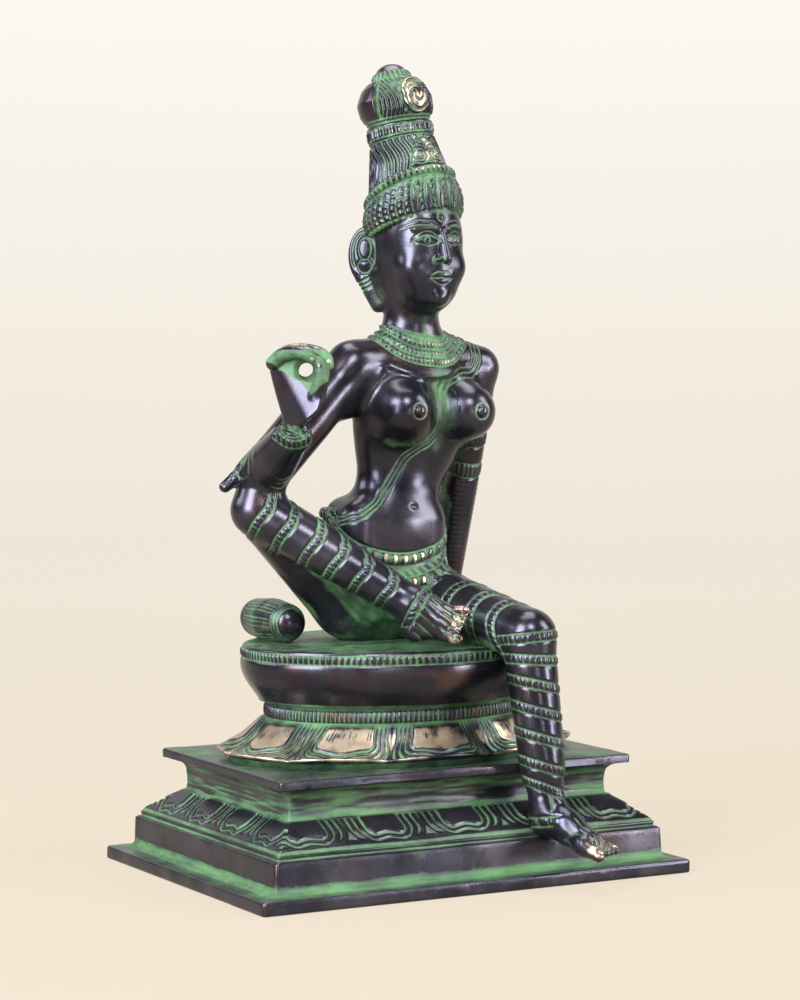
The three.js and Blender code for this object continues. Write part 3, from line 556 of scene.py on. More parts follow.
def mesh_object(name, points, faces):
    """Object from points in millimetres and faces of three or four corners (-1 fills a missing fourth)."""
    mesh = bpy.data.meshes.new(name)
    faces = np.asarray(faces, np.int64)
    sizes = np.where(faces[:, 3] < 0, 3, 4)
    loops = faces.reshape(-1)
    loops = loops[loops >= 0]
    mesh.vertices.add(len(points))
    mesh.vertices.foreach_set("co", (np.asarray(points, np.float64) * MM).astype(np.float32).ravel())
    mesh.loops.add(len(loops))
    mesh.loops.foreach_set("vertex_index", loops.astype(np.int32))
    mesh.polygons.add(len(sizes))
    mesh.polygons.foreach_set("loop_start", np.concatenate([[0], np.cumsum(sizes)[:-1]]).astype(np.int32))
    mesh.update(calc_edges=True)
    mesh.validate()
    piece = bpy.data.objects.new(name, mesh)
    bpy.context.scene.collection.objects.link(piece)
    mesh.shade_smooth()
    return piece


def thinned(piece, most):
    """Collapses the piece to at most that many triangles."""
    mesh = piece.data
    triangles = len(mesh.loops) - 2 * len(mesh.polygons)
    if triangles <= most:
        return
    modifier = piece.modifiers.new("thin", "DECIMATE")
    modifier.ratio = most / triangles
    evaluated = piece.evaluated_get(bpy.context.evaluated_depsgraph_get())
    piece.data = bpy.data.meshes.new_from_object(evaluated)
    piece.modifiers.clear()
    piece.data.shade_smooth()


def read_points(piece):
    """Vertices in millimetres, and their normals."""
    mesh = piece.data
    points = np.empty(len(mesh.vertices) * 3, np.float32)
    mesh.vertices.foreach_get("co", points)
    normals = np.empty(len(mesh.vertices) * 3, np.float32)
    mesh.vertex_normals.foreach_get("vector", normals)
    return points.reshape(-1, 3) / MM, normals.reshape(-1, 3)


def paint(piece, **layers):
    for name, values in layers.items():
        attribute = piece.data.attributes.new(name, "FLOAT", "POINT")
        attribute.data.foreach_set("value", held(values).astype(np.float32))


class Carving:
    """Heights and colours gathered over a skin's points, layer by layer."""

    def __init__(self, points, normals):
        self.points, self.normals = points, normals
        self.height, self.green, self.brass, self.rub = np.zeros((4, len(points)))

    def line(self, distance, mask=1.0, width=0.5, depth=0.4):
        """An engraved line, green inside."""
        self.height -= depth * hill(distance, width) * mask
        self.green = np.maximum(self.green, hill(distance, width * 1.1) * mask)

    def lines(self, distance, places, mask=1.0, width=0.5, depth=0.4):
        for place in places:
            self.line(distance - place, mask, width, depth)

    def stain(self, amount):
        self.green = np.maximum(self.green, amount)

    def shine(self, amount):
        self.brass = np.maximum(self.brass, amount)

    def wear(self, amount):
        self.rub = np.maximum(self.rub, amount)

    def bare(self, amount):
        """Brass, with the green rubbed off it."""
        self.shine(amount)
        self.green *= 1 - 0.8 * held(amount)

    def colours(self, chosen=slice(None)):
        return dict(green=self.green[chosen], brass=self.brass[chosen], rub=self.rub[chosen])

    def carved(self):
        return self.points + self.normals * self.height[:, None]

    def apply(self, piece):
        piece.data.vertices.foreach_set("co", (self.carved() * MM).astype(np.float32).ravel())
        piece.data.update()
        paint(piece, **self.colours())


def closeness(points, a, b, ra, rb, near=0.9, far=2.4):
    """1 on a limb's own skin, with the distance along the limb in millimetres and the angle around it."""
    a, b = vec(*a), vec(*b)
    axis = b - a
    length = np.linalg.norm(axis)
    u = axis / length
    q = points - a
    along = q @ u
    t = held(along / length)
    away = lengths(q - np.clip(along, 0, length)[:, None] * u) - (ra + t * (rb - ra))
    side = unit_vector(np.cross(u, vec(0, 0, 1) if abs(u[2]) < 0.8 else vec(0, 1, 0)))
    up = np.cross(side, u)
    angle = np.arctan2(q @ up, q @ side)
    return 1 - smoothstep(near, far, np.abs(away)), along, angle


def nearest_on(path, points, normals):
    """Distance to a path of straight stretches, signed by the side of it, and the length run along it."""
    best = np.full(len(points), 1e3)
    side = np.zeros(len(points))
    run = np.zeros(len(points))
    start = 0.0
    for a, b in zip(path, path[1:]):
        a, b = vec(*a), vec(*b)
        axis = b - a
        length = float(np.linalg.norm(axis))
        q = points - a
        t = held(q @ axis / length ** 2)
        d = lengths(q - t[:, None] * axis)
        closer = np.flatnonzero(d < best)
        best[closer] = d[closer]
        run[closer] = start + t[closer] * length
        side[closer] = (np.cross(axis / length, q[closer]) * normals[closer]).sum(axis=1)
        start += length
    return best, side, run


def band(c, along, angle, own, place, half=2.0, ticks=22, width=0.5, depth=0.45):
    """Two engraved rings with short ticks between them."""
    c.lines(along - place, (-half, half), own, width, depth)
    inside = window(along, place - half, place + half, 0.2) * own
    tick = hill(np.sin(angle * ticks / 2), 0.42)
    c.height += inside * (0.25 - 0.35 * tick)
    c.stain(inside * tick * 0.85)


# Body carving, in figure coordinates. Bands lie at distances along their limb.

SHIN_BANDS = (5, 15, 26.5, 37, 47.5, 58.5)
HANGING_SHIN_BANDS = (0.3, 8.5, 17.5, 27.5, 37.5, 48, 56)
THIGH_BANDS = (4, 17, 30, 41)
ARM_BANDS = (26, 38)
WRIST_BAND = 86
SHIN_RIDGE = 0.45  # Angle round the raised shin at which its ridge lies
SHIN_OUTSIDE = -0.51  # Angle round the hanging shin at which its outer side lies


def carve_limbs(c, p):
    own, along, angle = closeness(p, knee_right, ankle_right, 9.6, 6.4, 1.3, 3)
    own = own * smoothstep(-6, 0, along)
    # Each band points down the shin on its ridge and turns back towards the knee on both sides
    turned = wrapped(angle - SHIN_RIDGE)
    slant = (np.hypot(np.sin(turned / 2), 0.16) - 0.16) * (7 + 4 * np.sin(turned))
    for place in SHIN_BANDS:
        band(c, along + slant, angle, own, place, half=1.55, ticks=26)
    # Hanging leg: the bands droop towards the outer side
    own, along, angle = closeness(p, knee_left, ankle_left, 10, 5.8, 1.4, 3.2)
    own = own * smoothstep(-7, -4, along)
    turned = angle - SHIN_OUTSIDE
    droop = 3.4 * np.cos(turned)
    for place in HANGING_SHIN_BANDS:
        band(c, along - droop * min(1, place / 20), angle, own, place, half=1.7, ticks=26)
    c.line(wrapped(turned - math.pi * 0.93) * 9, own * window(along, 6, 56, 1), 0.6, 0.4)
    c.line(wrapped(turned + math.pi * 0.42) * 6, own * (along > 58), 0.7, 0.6)
    # Thigh of the hanging leg
    own, along, angle = closeness(p, between(hip_left, knee_left, 0.2), knee_left, 13.2, 10.2, 2, 4.5)
    own = own * smoothstep(-2, 2, along)
    slant = 6.5 * np.sin(angle + 0.8)
    for place in THIGH_BANDS:
        band(c, along + slant, angle, own, place, half=1.8, ticks=28)
    # Armlets
    own, along, angle = closeness(p, shoulder_left, elbow_left, 8.1, 7.3, 1.4, 2.6)
    for place in ARM_BANDS:
        band(c, along + 1.2 * np.sin(angle), angle, own, place, half=2.6, ticks=26)
    # Fine turned lines on the lower arm
    own, along, angle = closeness(p, elbow_left, wrist_left, 7.3, 6.2, 1.6, 3)
    rings = np.sin(along * 2 * math.pi / 1.9 + 0.7 * value_noise(p, 6, 51))
    c.height += own * 0.045 * rings
    c.stain(own * 0.1 * smoothstep(0.5, 1, -rings))
    # Three lines on the raised forearm
    own, along, angle = closeness(p, elbow_right, wrist_right, 9, 7.2, 1.2, 2.6)
    for place in (7, 10, 13):
        c.line(along - place + 2 * np.sin(angle * 2), own * smoothstep(0, 0.6, np.cos(angle + 2.6)), 0.4, 0.3)
    own, along, angle = closeness(p, shoulder_left, wrist_left, 8, 6.2, 2, 4)
    band(c, along, angle, own * (p[:, 1] > 8), WRIST_BAND, half=1.8, ticks=18)
    # Ringed joints under both ankles
    for ankle, knee, radius, place in ((ankle_right, knee_right, 11, 0.5), (ankle_left, knee_left, 12, 4.2)):
        u = unit_vector(ankle - knee)
        q = p - ankle
        h = q @ u
        own = 1 - smoothstep(radius - 2, radius, lengths(q))
        around = np.arctan2(q @ unit_vector(np.cross(u, vec(0.3, 1, 0))), q[:, 0])
        band(c, h, around, own, place, half=1.7, ticks=26, width=0.55, depth=0.5)


def carve_feet(c, p):
    for foot in (RIGHT_FOOT, LEFT_FOOT):
        side = unit_vector(foot["across"])
        forward = unit_vector(foot["along"])
        up = np.cross(side, forward)
        up = up * np.sign(up[2] + 1e-6)
        q = p - foot["ball"]
        near = 1 - smoothstep(14, 17, lengths(q))
        across = q @ side
        ahead = q @ forward
        gaps = np.zeros(len(p))
        for toe in range(4):
            gap = 3.5 - TOE_PITCH * toe + np.maximum(ahead, 0) * (TOE_TURN - TOE_FAN * (toe + 0.5))
            crease = hill(across - gap, 0.45) * near * smoothstep(-0.5, 2, ahead)
            gaps = np.maximum(gaps, crease)
        c.height -= 0.6 * gaps
        c.stain(gaps)
        # Tendons that fan out from the instep
        fan = np.cos((across - 0.2) * 2 * math.pi / 3) * window(ahead, -9, 0, 2) * near
        c.height += 0.18 * fan
        c.stain(0.7 * smoothstep(0.2, 1, -fan))
        nails = np.zeros(len(p))
        for _, tip, radius in toe_lines(**foot):
            nail = lengths(p - (tip + up * radius * 0.75 + forward * 0.2))
            nails = np.maximum(nails, hill(nail - radius * 0.72, 0.28) * near)
        c.height -= 0.25 * nails
        worn = 0.62 + 0.3 * value_noise(p, 2.2, 81)
        c.shine(near * smoothstep(0.5, 6.5, ahead) * (1 - gaps) * (1 - 0.5 * nails)
                * smoothstep(-1.5, 0.5, q @ up) * held(worn))
        c.wear(0.6 * near * smoothstep(-1, 3, ahead) * (1 - gaps))


NECKLACE_TOP = vec(10, 4.5, 120)


def carve_neck(c, p):
    """Strung rows that lie round the neck, outward and down over the chest, lower in front."""
    q = p - NECKLACE_TOP
    angle = np.arctan2(q[:, 1], q[:, 0])
    out = np.hypot(q[:, 0], q[:, 1])
    run = 0.7 * (out - q[:, 2])
    chest = (p[:, 2] < 119) * (p[:, 2] > 92) * (run < 26) * (out > 11)
    front = np.maximum(0, -np.sin(angle))
    low = 15.8 + 4.4 * front + 2.6 * np.maximum(0, np.cos(angle)) + 0.3 * value_noise(p, 7, 64)
    c.stain(0.85 * window(run - low, -9.5, 1.6, 0.7) * chest)
    for offset, beads, width in ((0, 56, 0.95), (-3.3, 50, 0.85), (-6.5, 42, 0.8)):
        away = run - low - offset
        cord = hill(away, width * 1.25) * chest
        bead = smoothstep(-0.5, 0.8, np.cos(angle * beads + 0.5 * offset)) * hill(away, width) * chest
        c.height += 0.25 * cord + 0.45 * bead
        c.green *= 1 - 0.9 * bead
        c.shine(0.8 * bead * (0.75 + 0.35 * value_noise(p, 4, 65)))
    c.lines(run - low, (1.5, -1.7, -5, -8.2), chest, 0.42, 0.35)
    # Worn brown patch by the shoulder, and a green wedge on the throat
    c.wear(0.9 * hill(run - low - 3, 1.6) * chest * (p[:, 0] < 4))
    own, along, angle = closeness(p, neck_foot, neck_top, 11.4, 10.2, 1.6, 3)
    wedge = smoothstep(0.2, 1.2, 1 - np.abs(p[:, 0] - 9) / (0.6 * (along - 2)))
    c.stain(0.85 * own * wedge * (p[:, 1] < 0) * (along > 5))


THREAD_FRONT = [
    (34.6, 4, 110.5), (34.3, -1, 109), (33.5, -3, 105), (30.2, -3.5, 101.2), (24.3, -4.4, 100.1),
    (18.8, -5.7, 97.5), (15.5, -6.7, 93.8), (13.8, -7.5, 89.3), (12.6, -8.3, 81), (8.7, -8.8, 76.2),
    (4.5, -8.6, 73.6), (0.3, -7.6, 69.9), (-2.4, -6.3, 65.4), (-5, -5.6, 60.9), (-8.1, -5.6, 56.5),
    (-12.5, -6.7, 51.8), (-19.4, -6.8, 47.8), (-24, 0, 46),
]
THREAD_BACK = [
    (34.6, 4, 110.5), (29, 13, 106), (20, 16, 95), (12, 17, 80), (2, 16, 64), (-10, 20, 52), (-24, 12, 45),
]


def onto_body(places):
    p = np.array(places, np.float32)
    for _ in range(4):
        p = p - body_field(p)[:, None] * body_normals(p)
    return [tuple(q) for q in p]


def carve_thread(c, p):
    """A strap of three lines from the left shoulder between the breasts to the right hip, narrower below."""
    for places, share in ((THREAD_FRONT, 1.0), (THREAD_BACK, 0.8)):
        path = smooth_path(onto_body(places))
        d, side, run = nearest_on(onto_body(path), p, c.normals)
        spread = between(1.0, 0.72, smoothstep(20, 90, run))
        own = (1 - smoothstep(2.9, 3.7, d)) * share
        c.height += 0.15 * own * hill(side / spread, 2.4)
        for edge in (-2.1, 0, 2.1):
            c.line(side - edge * spread, own * (d < 3.4), 0.42, 0.35)


BELT_BEADS = 40


def carve_belts(c, p):
    x, y = ((p - BELT_CENTRE)[:, k] / BELT_SIZE[k] for k in range(2))
    angle = np.arctan2(y, x)
    sag = np.maximum(0, -np.sin(angle))
    own = 1 - smoothstep(0.2, 0.36, np.abs(np.hypot(x, y) - 1.05))
    own = own * (p[:, 2] > 14)
    lower = BELTS[1][0] - BELTS[1][1] * sag
    c.stain(own * 0.75 * window(p[:, 2], lower - 13, lower + 6, 1.5))
    between_belts = own * window(p[:, 2] - lower, 2.4, 4.6, 0.3)
    c.height += between_belts * 0.3 * np.sin(angle * 40 + p[:, 2] * 1.6)
    for base, drop in ((48.2, 17), (41.6, 19.6)):
        h = p[:, 2] - (base - drop * sag)
        swing = np.cos(angle * BELT_BEADS + 0.5 * value_noise(p, 5, 67))
        bead = smoothstep(-0.75, 0.1, swing) * window(h, -1.7, 1.7, 0.5) * own
        c.stain(window(h, -3, 2.6, 0.4) * own * 0.95)
        c.green *= 1 - 0.8 * bead
        c.height += 0.7 * bead
        c.shine(bead * hill(angle + 1.7, 0.75) * smoothstep(-0.3, 0.8, swing) * 0.8)
        c.lines(h, (-2.3, 2.3), own, 0.45, 0.45)
    # Hanging scallops and pleats under the lower belt
    h = p[:, 2] - lower
    scallop = np.abs(np.sin(angle * 13))
    front = own * window(h, -12, -2, 0.6)
    c.line(h + 4 + 4 * scallop, front, 0.5, 0.4)
    c.line(h + 2.4 + 4 * scallop, front, 0.35, 0.3)
    pleat = np.cos(angle * BELT_BEADS)
    c.height += front * 0.35 * pleat
    c.stain(front * smoothstep(0.2, 0.9, -pleat))


def carve_web(c, p):
    shin = cone(knee_right, ankle_right, 9.5, 6.2, 0)[0](p)
    thigh = cone(hip_right, knee_right, 14.5, 9.5, 0)[0](p)
    own = (1 - smoothstep(0.8, 3.2, melt(web_forms(), p))) * smoothstep(-0.4, 1.8, np.minimum(shin, thigh))
    c.stain(own * 0.92)
    fold = (p - knee_right) @ unit_vector(ankle_right - knee_right)
    c.height += own * 0.22 * np.sin(fold * 0.9 + 1.5 * value_noise(p, 12, 3))
    # Green where the cloth bunches round the seat of the body and below the knee
    heap = hill(lengths((p - vec(-6, -10, 6)) / vec(26, 22, 9)), 1)
    c.stain(0.9 * heap * smoothstep(-6, 2, 12 - p[:, 2]))


PALM_GREEN = (-8, -0.6, 3.4, 6.5, 8.9, 11.6), (25, 20.2, 17.5, 14.4, 16.1, 18.4)


def carve_hand(c, p):
    q = p - wrist_right
    u = q @ HAND_ACROSS
    w = q @ HAND_OUT
    v = q[:, 2]
    near = window(v, 3, 36, 1) * (lengths(q - vec(0, 0, 18)) < 25)
    noise = value_noise(p, 2.5, 61)
    light = (p - hand(*PALM_LIGHT[0])) @ hand_way(*PALM_LIGHT[1])
    facing = near * smoothstep(-9, -7.5, light) * (w > -7)
    # Green fills the palm above a jagged lower edge
    edge = np.interp(u, *PALM_GREEN)
    c.stain(facing * smoothstep(-0.9, 0.7, v - edge + 0.9 * noise) * (1 - smoothstep(29.5, 31, v)))
    c.stain(near * 0.75 * smoothstep(25.6, 27.6, v) * smoothstep(-0.5, 0.4, noise))
    # Bracelet
    on_wrist = (w > -1) * (lengths(q - vec(0, 0, -2)) < 11)
    droop = (u - 0.4) ** 2
    upper, lower = v + 1.4 - 0.085 * droop, v + 5.6 - 0.06 * droop
    for ring in (upper, upper + 1.2, lower):
        c.line(ring, on_wrist, 0.45, 0.45)
    rungs = on_wrist * (upper < -1.4) * (lower > 0)
    wave = np.cos(u * 3.3)
    c.height += rungs * 0.3 * wave
    c.stain(rungs * 0.8 * smoothstep(0.3, 0.9, -wave))
    # Nails, and joints worn bright
    for place in (hand(7, 26.8, 8), hand(12.9, 26, 5.8), hand(9.3, 24.4, 7.8)):
        d = lengths(p - place)
        c.line(d - 1.3, near, 0.3, 0.2)
        c.bare(0.75 * hill(d, 1.2) * near)
    c.bare(near * 0.6 * smoothstep(29.4, 31.2, v) * smoothstep(-0.5, 0.5, noise))


def carve_chest(c, p):
    front = p[:, 1] < 0
    for centre, r in BREASTS:
        d = lengths((p - breast_tip(centre, r)) * vec(1, 0.6, 1))
        c.line(d - 2.9, p[:, 1] < -8, 0.4, 0.25)
        c.wear(hill(d, 1.5))
        under = hill(lengths(p - centre) - r - 2.2, 2) * smoothstep(0, 5, centre[2] - p[:, 2])
        streaks = value_noise(p * vec(0.4, 0.4, 1), 2.6, 83)
        c.stain(0.75 * under * smoothstep(-0.5, 0.5, streaks) * front)
    middle = hill((p[:, 0] - 13.5) / 5.5, 1) * window(p[:, 2], 70, 106, 5) * front
    c.stain(0.75 * middle)
    navel = np.hypot(p[:, 0] - 2.6, (p[:, 2] - 51) / 0.8)
    c.line(navel, front, 1.1, 1.0)


def carve_lappet(c, p):
    own, _, angle = closeness(p, *LAPPET, 0.8, 2)
    c.height -= own * 0.3 * held(np.cos(angle * 5))
    c.stain(own * 0.7 * hill(np.sin(angle * 2.5), 0.4))
    # Carved sleeve end behind the elbow
    d = lengths(p - elbow_right - vec(-3, 0, 4))
    sleeve = (1 - smoothstep(8, 13, d)) * (p[:, 2] > 58)
    curl = np.sin(d * 2.1 + 2.2 * value_noise(p, 8, 71))
    c.height += sleeve * 0.15 * curl
    c.stain(sleeve * 0.75 * smoothstep(0.35, 0.95, -curl))


def carve_bolster(c, p):
    """Eight triple ridges along it, and a turned knob on its front end."""
    ends = on_bolster(BOLSTER["front"]), on_bolster(BOLSTER["back"])
    own, along, angle = closeness(p, *ends, 8, 8, 1.4, 2.4)
    body = window(along, -0.5, 22, 0.5)
    for k in range(8):
        c.lines(wrapped(angle - k * math.pi / 4) * 8, (-1.6, 0, 1.6), own * body, 0.35, 0.35)
    c.lines(along, (-4.2, -2.9, -1.3), own, 0.45, 0.45)
    c.stain(own * window(along, -4.4, -1.2, 0.3) * 0.5)
    c.stain(own * window(along, -1.2, 24, 0.6) * 0.45)


# Levels of the face's parts, and how far each reaches or lies to the side
EYE = dict(level=150.6, out=6, half=4.7)
BROW = dict(level=154.6, out=7, half=6.6)
NOSTRIL = dict(level=143.8, out=2.7)
MOUTH = dict(level=137.2, half=4.6)
BROW_MARK = 159.6
HAIRLINE = 158.5


def carve_face(c, p):
    u = p[:, 0] - HEAD[0]
    z = p[:, 2]
    front = (p[:, 1] < -6) * window(z, 124, 166, 1)
    for side in (-1, 1):
        e = (u * side - EYE["out"]) / EYE["half"]
        lid = held(1 - e * e)
        within = front * (np.abs(e) < 1.05)
        c.line(z - EYE["level"] - 2.2 * lid, within, 0.38, 0.4)
        c.line(z - EYE["level"] + 1.5 * lid, within, 0.34, 0.35)
        c.line(z - 150.8 - 3.5 * held(1 - (e * 0.9) ** 2), within, 0.3, 0.25)
        iris = np.hypot(u * side - EYE["out"], z - 150.9)
        c.line(iris - 1.15, front, 0.28, 0.22)
        b = (u * side - BROW["out"]) / BROW["half"]
        brow = front * held(1 - b ** 2) ** 0.5
        c.line(z - BROW["level"] - 2.2 * (1 - b * b), brow, 0.45, 0.4)
        c.line(z - 156.3 - 2.2 * (1 - b * b), brow, 0.36, 0.3)
        wing = np.hypot((u * side - NOSTRIL["out"]) / 1.4, (z - NOSTRIL["level"]) / 1.5)
        c.line(wing - 1, front * (z < 145), 0.3, 0.22)
        c.line(np.hypot(u * side - 1.5, z - 142.4), front, 0.5, 0.5)
    mouth = front * (np.abs(u) < MOUTH["half"])
    m = held(1 - (u / MOUTH["half"]) ** 2)
    c.line(z - MOUTH["level"] + 0.5 * m - 0.35 * hill(u, 1), mouth, 0.36, 0.45)
    c.line(z - 137.6 - 1.9 * m + 0.5 * hill(u, 0.8), mouth, 0.3, 0.22)
    c.line(z - 137 + 2.5 * m, mouth, 0.3, 0.25)
    mark = np.hypot(u, z - BROW_MARK)
    c.height += front * 0.5 * hill(mark, 1.1)
    c.line(mark - 1.5, front, 0.3, 0.2)
    # Green lies along the hairline
    hairline = HAIRLINE + 0.2 * np.maximum(0, -p[:, 1])
    c.stain(0.8 * hill(z - hairline, 1.6) * (p[:, 1] < 8))


def carve_ears(c, p):
    for side in (-1, 1):
        centre = vec(*face(side * EAR["out"], EAR["y"], EAR["z"]))
        q = (p - centre) @ turn_matrix((0, 0, side * EAR["turn"]))
        near = 1 - smoothstep(1.25, 1.5, lengths(q / vec(7, 4.5, 11.5)))
        # The rim curls in from above and runs down into the lobe
        bowl = np.hypot((q[:, 0] + 0.8) / 5.4, (q[:, 2] - 1) / 9.4)
        c.line((bowl - 0.84) * 6.5, near * smoothstep(-0.75, -0.3, q[:, 2] / 9), 0.6, 0.8)
        fold = np.hypot((q[:, 0] + 0.4) / 3, (q[:, 2] - 2.5) / 5.2)
        c.line((fold - 0.8) * 3.6, near * (q[:, 2] > -3), 0.5, 0.7)
        c.height += near * 0.5 * hill(np.hypot(q[:, 0], q[:, 2] + 3.4), 1.8)
        c.line(np.hypot(q[:, 0] + 0.4, q[:, 2] + 4) - 2.6, near, 0.45, 0.5)
        own, along, _ = closeness(p, *lobe_ends(side), *LOBE["radii"], 0.8, 1.8)
        c.lines(along, (0.4, 2, 3.6), own, 0.45, 0.45)
        c.stain(own * 0.45 * (along > 3.6))
        # Green where the ear joins the head
        behind = lengths((p - vec(*face(side * 13.6, 5, 138))) / vec(3, 4, 12))
        c.stain(0.8 * hill(behind, 1))


def carve_grime(c, p):
    """Green where the casting is hollow, and worn edges where it stands out."""
    noise = value_noise(p, 3.5, 11)
    for depth, low, high, share in ((2.2, 0.45, 0.95, 0.9), (5, 0.5, 0.95, 0.9), (9, 0.5, 0.95, 0.65)):
        hollow = 1 - body_field(p + c.normals * depth) / depth
        c.stain(share * smoothstep(low, high, hollow + 0.12 * noise))
    on_cushion = (np.abs(p[:, 0] - 1) < 62) * (np.abs(p[:, 1]) < 45)
    low = hill(np.maximum(p[:, 2], 0), 4.5) * on_cushion * (p[:, 2] > -1.5)
    c.stain(0.95 * low)
    ridge = smoothstep(1.06, 1.35, body_field(p + c.normals * 4) / 4)
    c.wear(ridge * 0.6)
    patches = value_noise(p, 11, 5) + 0.5 * value_noise(p, 3, 6)
    c.stain(0.4 * smoothstep(0.6, 1.2, patches))
    c.wear(0.45 * smoothstep(0.5, 1.0, value_noise(p, 6, 8) + 0.4 * value_noise(p, 2, 9)))


def faces_between(points, faces, low, high):
    """The vertices used and the faces kept where the middle of a face lies between two levels."""
    z = points[:, 2][np.where(faces < 0, faces[:, :1], faces)].mean(axis=1)
    kept = faces[(z >= low) & (z < high)]
    used = np.unique(kept[kept >= 0])
    renumber = np.full(len(points) + 1, -1)
    renumber[used] = np.arange(len(used))
    return used, renumber[kept]


WAIST_CUT, CHEST_CUT, NECK_CUT = 33, 72, 118.5  # Levels at which the body is cut into pieces
HEAD_OVERLAP = 0.8
BODY_CARVING = (carve_grime, carve_web, carve_chest, carve_lappet, carve_bolster, carve_thread, carve_belts,
                carve_neck, carve_limbs, carve_hand, carve_feet)
HEAD_CARVING = (carve_grime, carve_neck, carve_face, carve_ears)


def make_body(cell, head_cell):
    """The body as one skin cut into three pieces, and the head as a finer one."""
    body_cuts = [
        ("figure_legs", -100, WAIST_CUT), ("figure_waist", WAIST_CUT, CHEST_CUT),
        ("figure_chest", CHEST_CUT, NECK_CUT),
    ]
    skins = [
        (vec(-78, -96, -78), vec(62, 50, 122), cell, BODY_CARVING, body_cuts),
        (vec(-16, -30, 114), vec(36, 32, 178), head_cell, HEAD_CARVING,
         [("figure_head", NECK_CUT - HEAD_OVERLAP, 172)]),
    ]
    pieces = []
    for low, high, size, carving, cuts in skins:
        points, faces = skin(body_field, low, high, size)
        c = Carving(points, body_normals(points))
        for carve in carving:
            carve(c, points)
        carved = c.carved()
        for name, start, end in cuts:
            used, kept = faces_between(points, faces, start, end)
            piece = mesh_object(name, carved[used] + vec(0, 0, SEAT_TOP), kept)
            paint(piece, **c.colours(used))
            pieces.append(piece)
    return pieces


# Ring stacks: closed skins over rows of points that run round the axis


def stack(name, rings):
    rows, count, _ = rings.shape
    points = np.concatenate([rings.reshape(-1, 3), rings[0].mean(0)[None], rings[-1].mean(0)[None]])
    i, j = np.meshgrid(np.arange(rows - 1), np.arange(count), indexing="ij")
    a = i * count + j
    b = i * count + (j + 1) % count
    sides = np.stack([a, b, b + count, a + count], -1).reshape(-1, 4)
    j = np.arange(count)
    k = (j + 1) % count
    none = np.full(count, -1)
    last = (rows - 1) * count
    foot = np.column_stack([np.full(count, rows * count), k, j, none])
    top = np.column_stack([np.full(count, rows * count + 1), last + j, last + k, none])
    return mesh_object(name, points, np.concatenate([sides, foot, top]))


def refined(profile, step):
    """Profile rows, tuples with the level last, with more between them where they are over `step` apart."""
    rows = [profile[0]]
    for a, b in zip(profile, profile[1:]):
        length = math.hypot(b[0] - a[0], b[-1] - a[-1])
        count = max(1, math.ceil(length / step))
        rows += [tuple(x + (y - x) * k / count for x, y in zip(a, b)) for k in range(1, count + 1)]
    return np.array(rows)


def per_vertex(grid):
    """A grid of values as one list, with those of both end points."""
    return np.concatenate([grid.ravel(), [grid[0, 0], grid[-1, 0]]])


def quarter(t):
    """How far a quarter round has come out and up at share t of its turn."""
    return 1 - math.cos(t * math.pi / 2), math.sin(t * math.pi / 2)


def panel_edge(out, below, corner):
    """Distance from an open panel's outline, below zero inside it, where its lower corners are round."""
    qx, qy = out + corner, below + corner
    return np.hypot(np.maximum(qx, 0), np.maximum(qy, 0)) + np.minimum(np.maximum(qx, qy), 0) - corner


# Crown of piled hair, in shares of its height and angles round its axis; the front lies at -90 degrees

CROWN_FOOT = vec(9.8, 2, 156.4)
CROWN_TIP = vec(3.6, 11.4, 218)
CROWN_HEIGHT = float(np.linalg.norm(CROWN_TIP - CROWN_FOOT))
CROWN_PROFILE = [
    (0, 17.9), (0.02, 18.5), (0.08, 19.3), (0.13, 18.9), (0.175, 17.9), (0.188, 16.9), (0.197, 17.4),
    (0.22, 17.7), (0.243, 17.2), (0.255, 15.7), (0.3, 15), (0.4, 13.7), (0.52, 12.1), (0.535, 12.8),
    (0.575, 12.5), (0.61, 12.8), (0.63, 12), (0.66, 12.9), (0.7, 13.7), (0.77, 13.8), (0.85, 11.7),
    (0.895, 9.2), (0.905, 7.6), (0.92, 7.4), (0.94, 6.6), (0.95, 5.8), (0.97, 4.9), (0.985, 3.6), (0.995, 2),
]
RISE = dict(hairline=0.14, diadem=0.34, diadem_share=0.22, until=0.6)
FRINGE, DIADEM, TIER, TICKS = (-0.1, 0.186), (0.193, 0.248), (0.26, 0.515), (0.545, 0.603)
KNOT, CAP_BEADS = (0.655, 0.9), (0.903, 0.945)
LOCKS = dict(pitch=15.5, half=7.2)
BOSS = dict(share=0.765, half_width=5.8, half_height=6.8)


def grooved(c, own, phase, height, low=0.3, share=1.0):
    """Rounded strands with green between them; each whole number of `phase` lies on a strand's crest."""
    wave = np.cos(phase * 2 * math.pi)
    c.height += own * height * wave
    c.stain(own * share * smoothstep(low, 0.95, -wave))


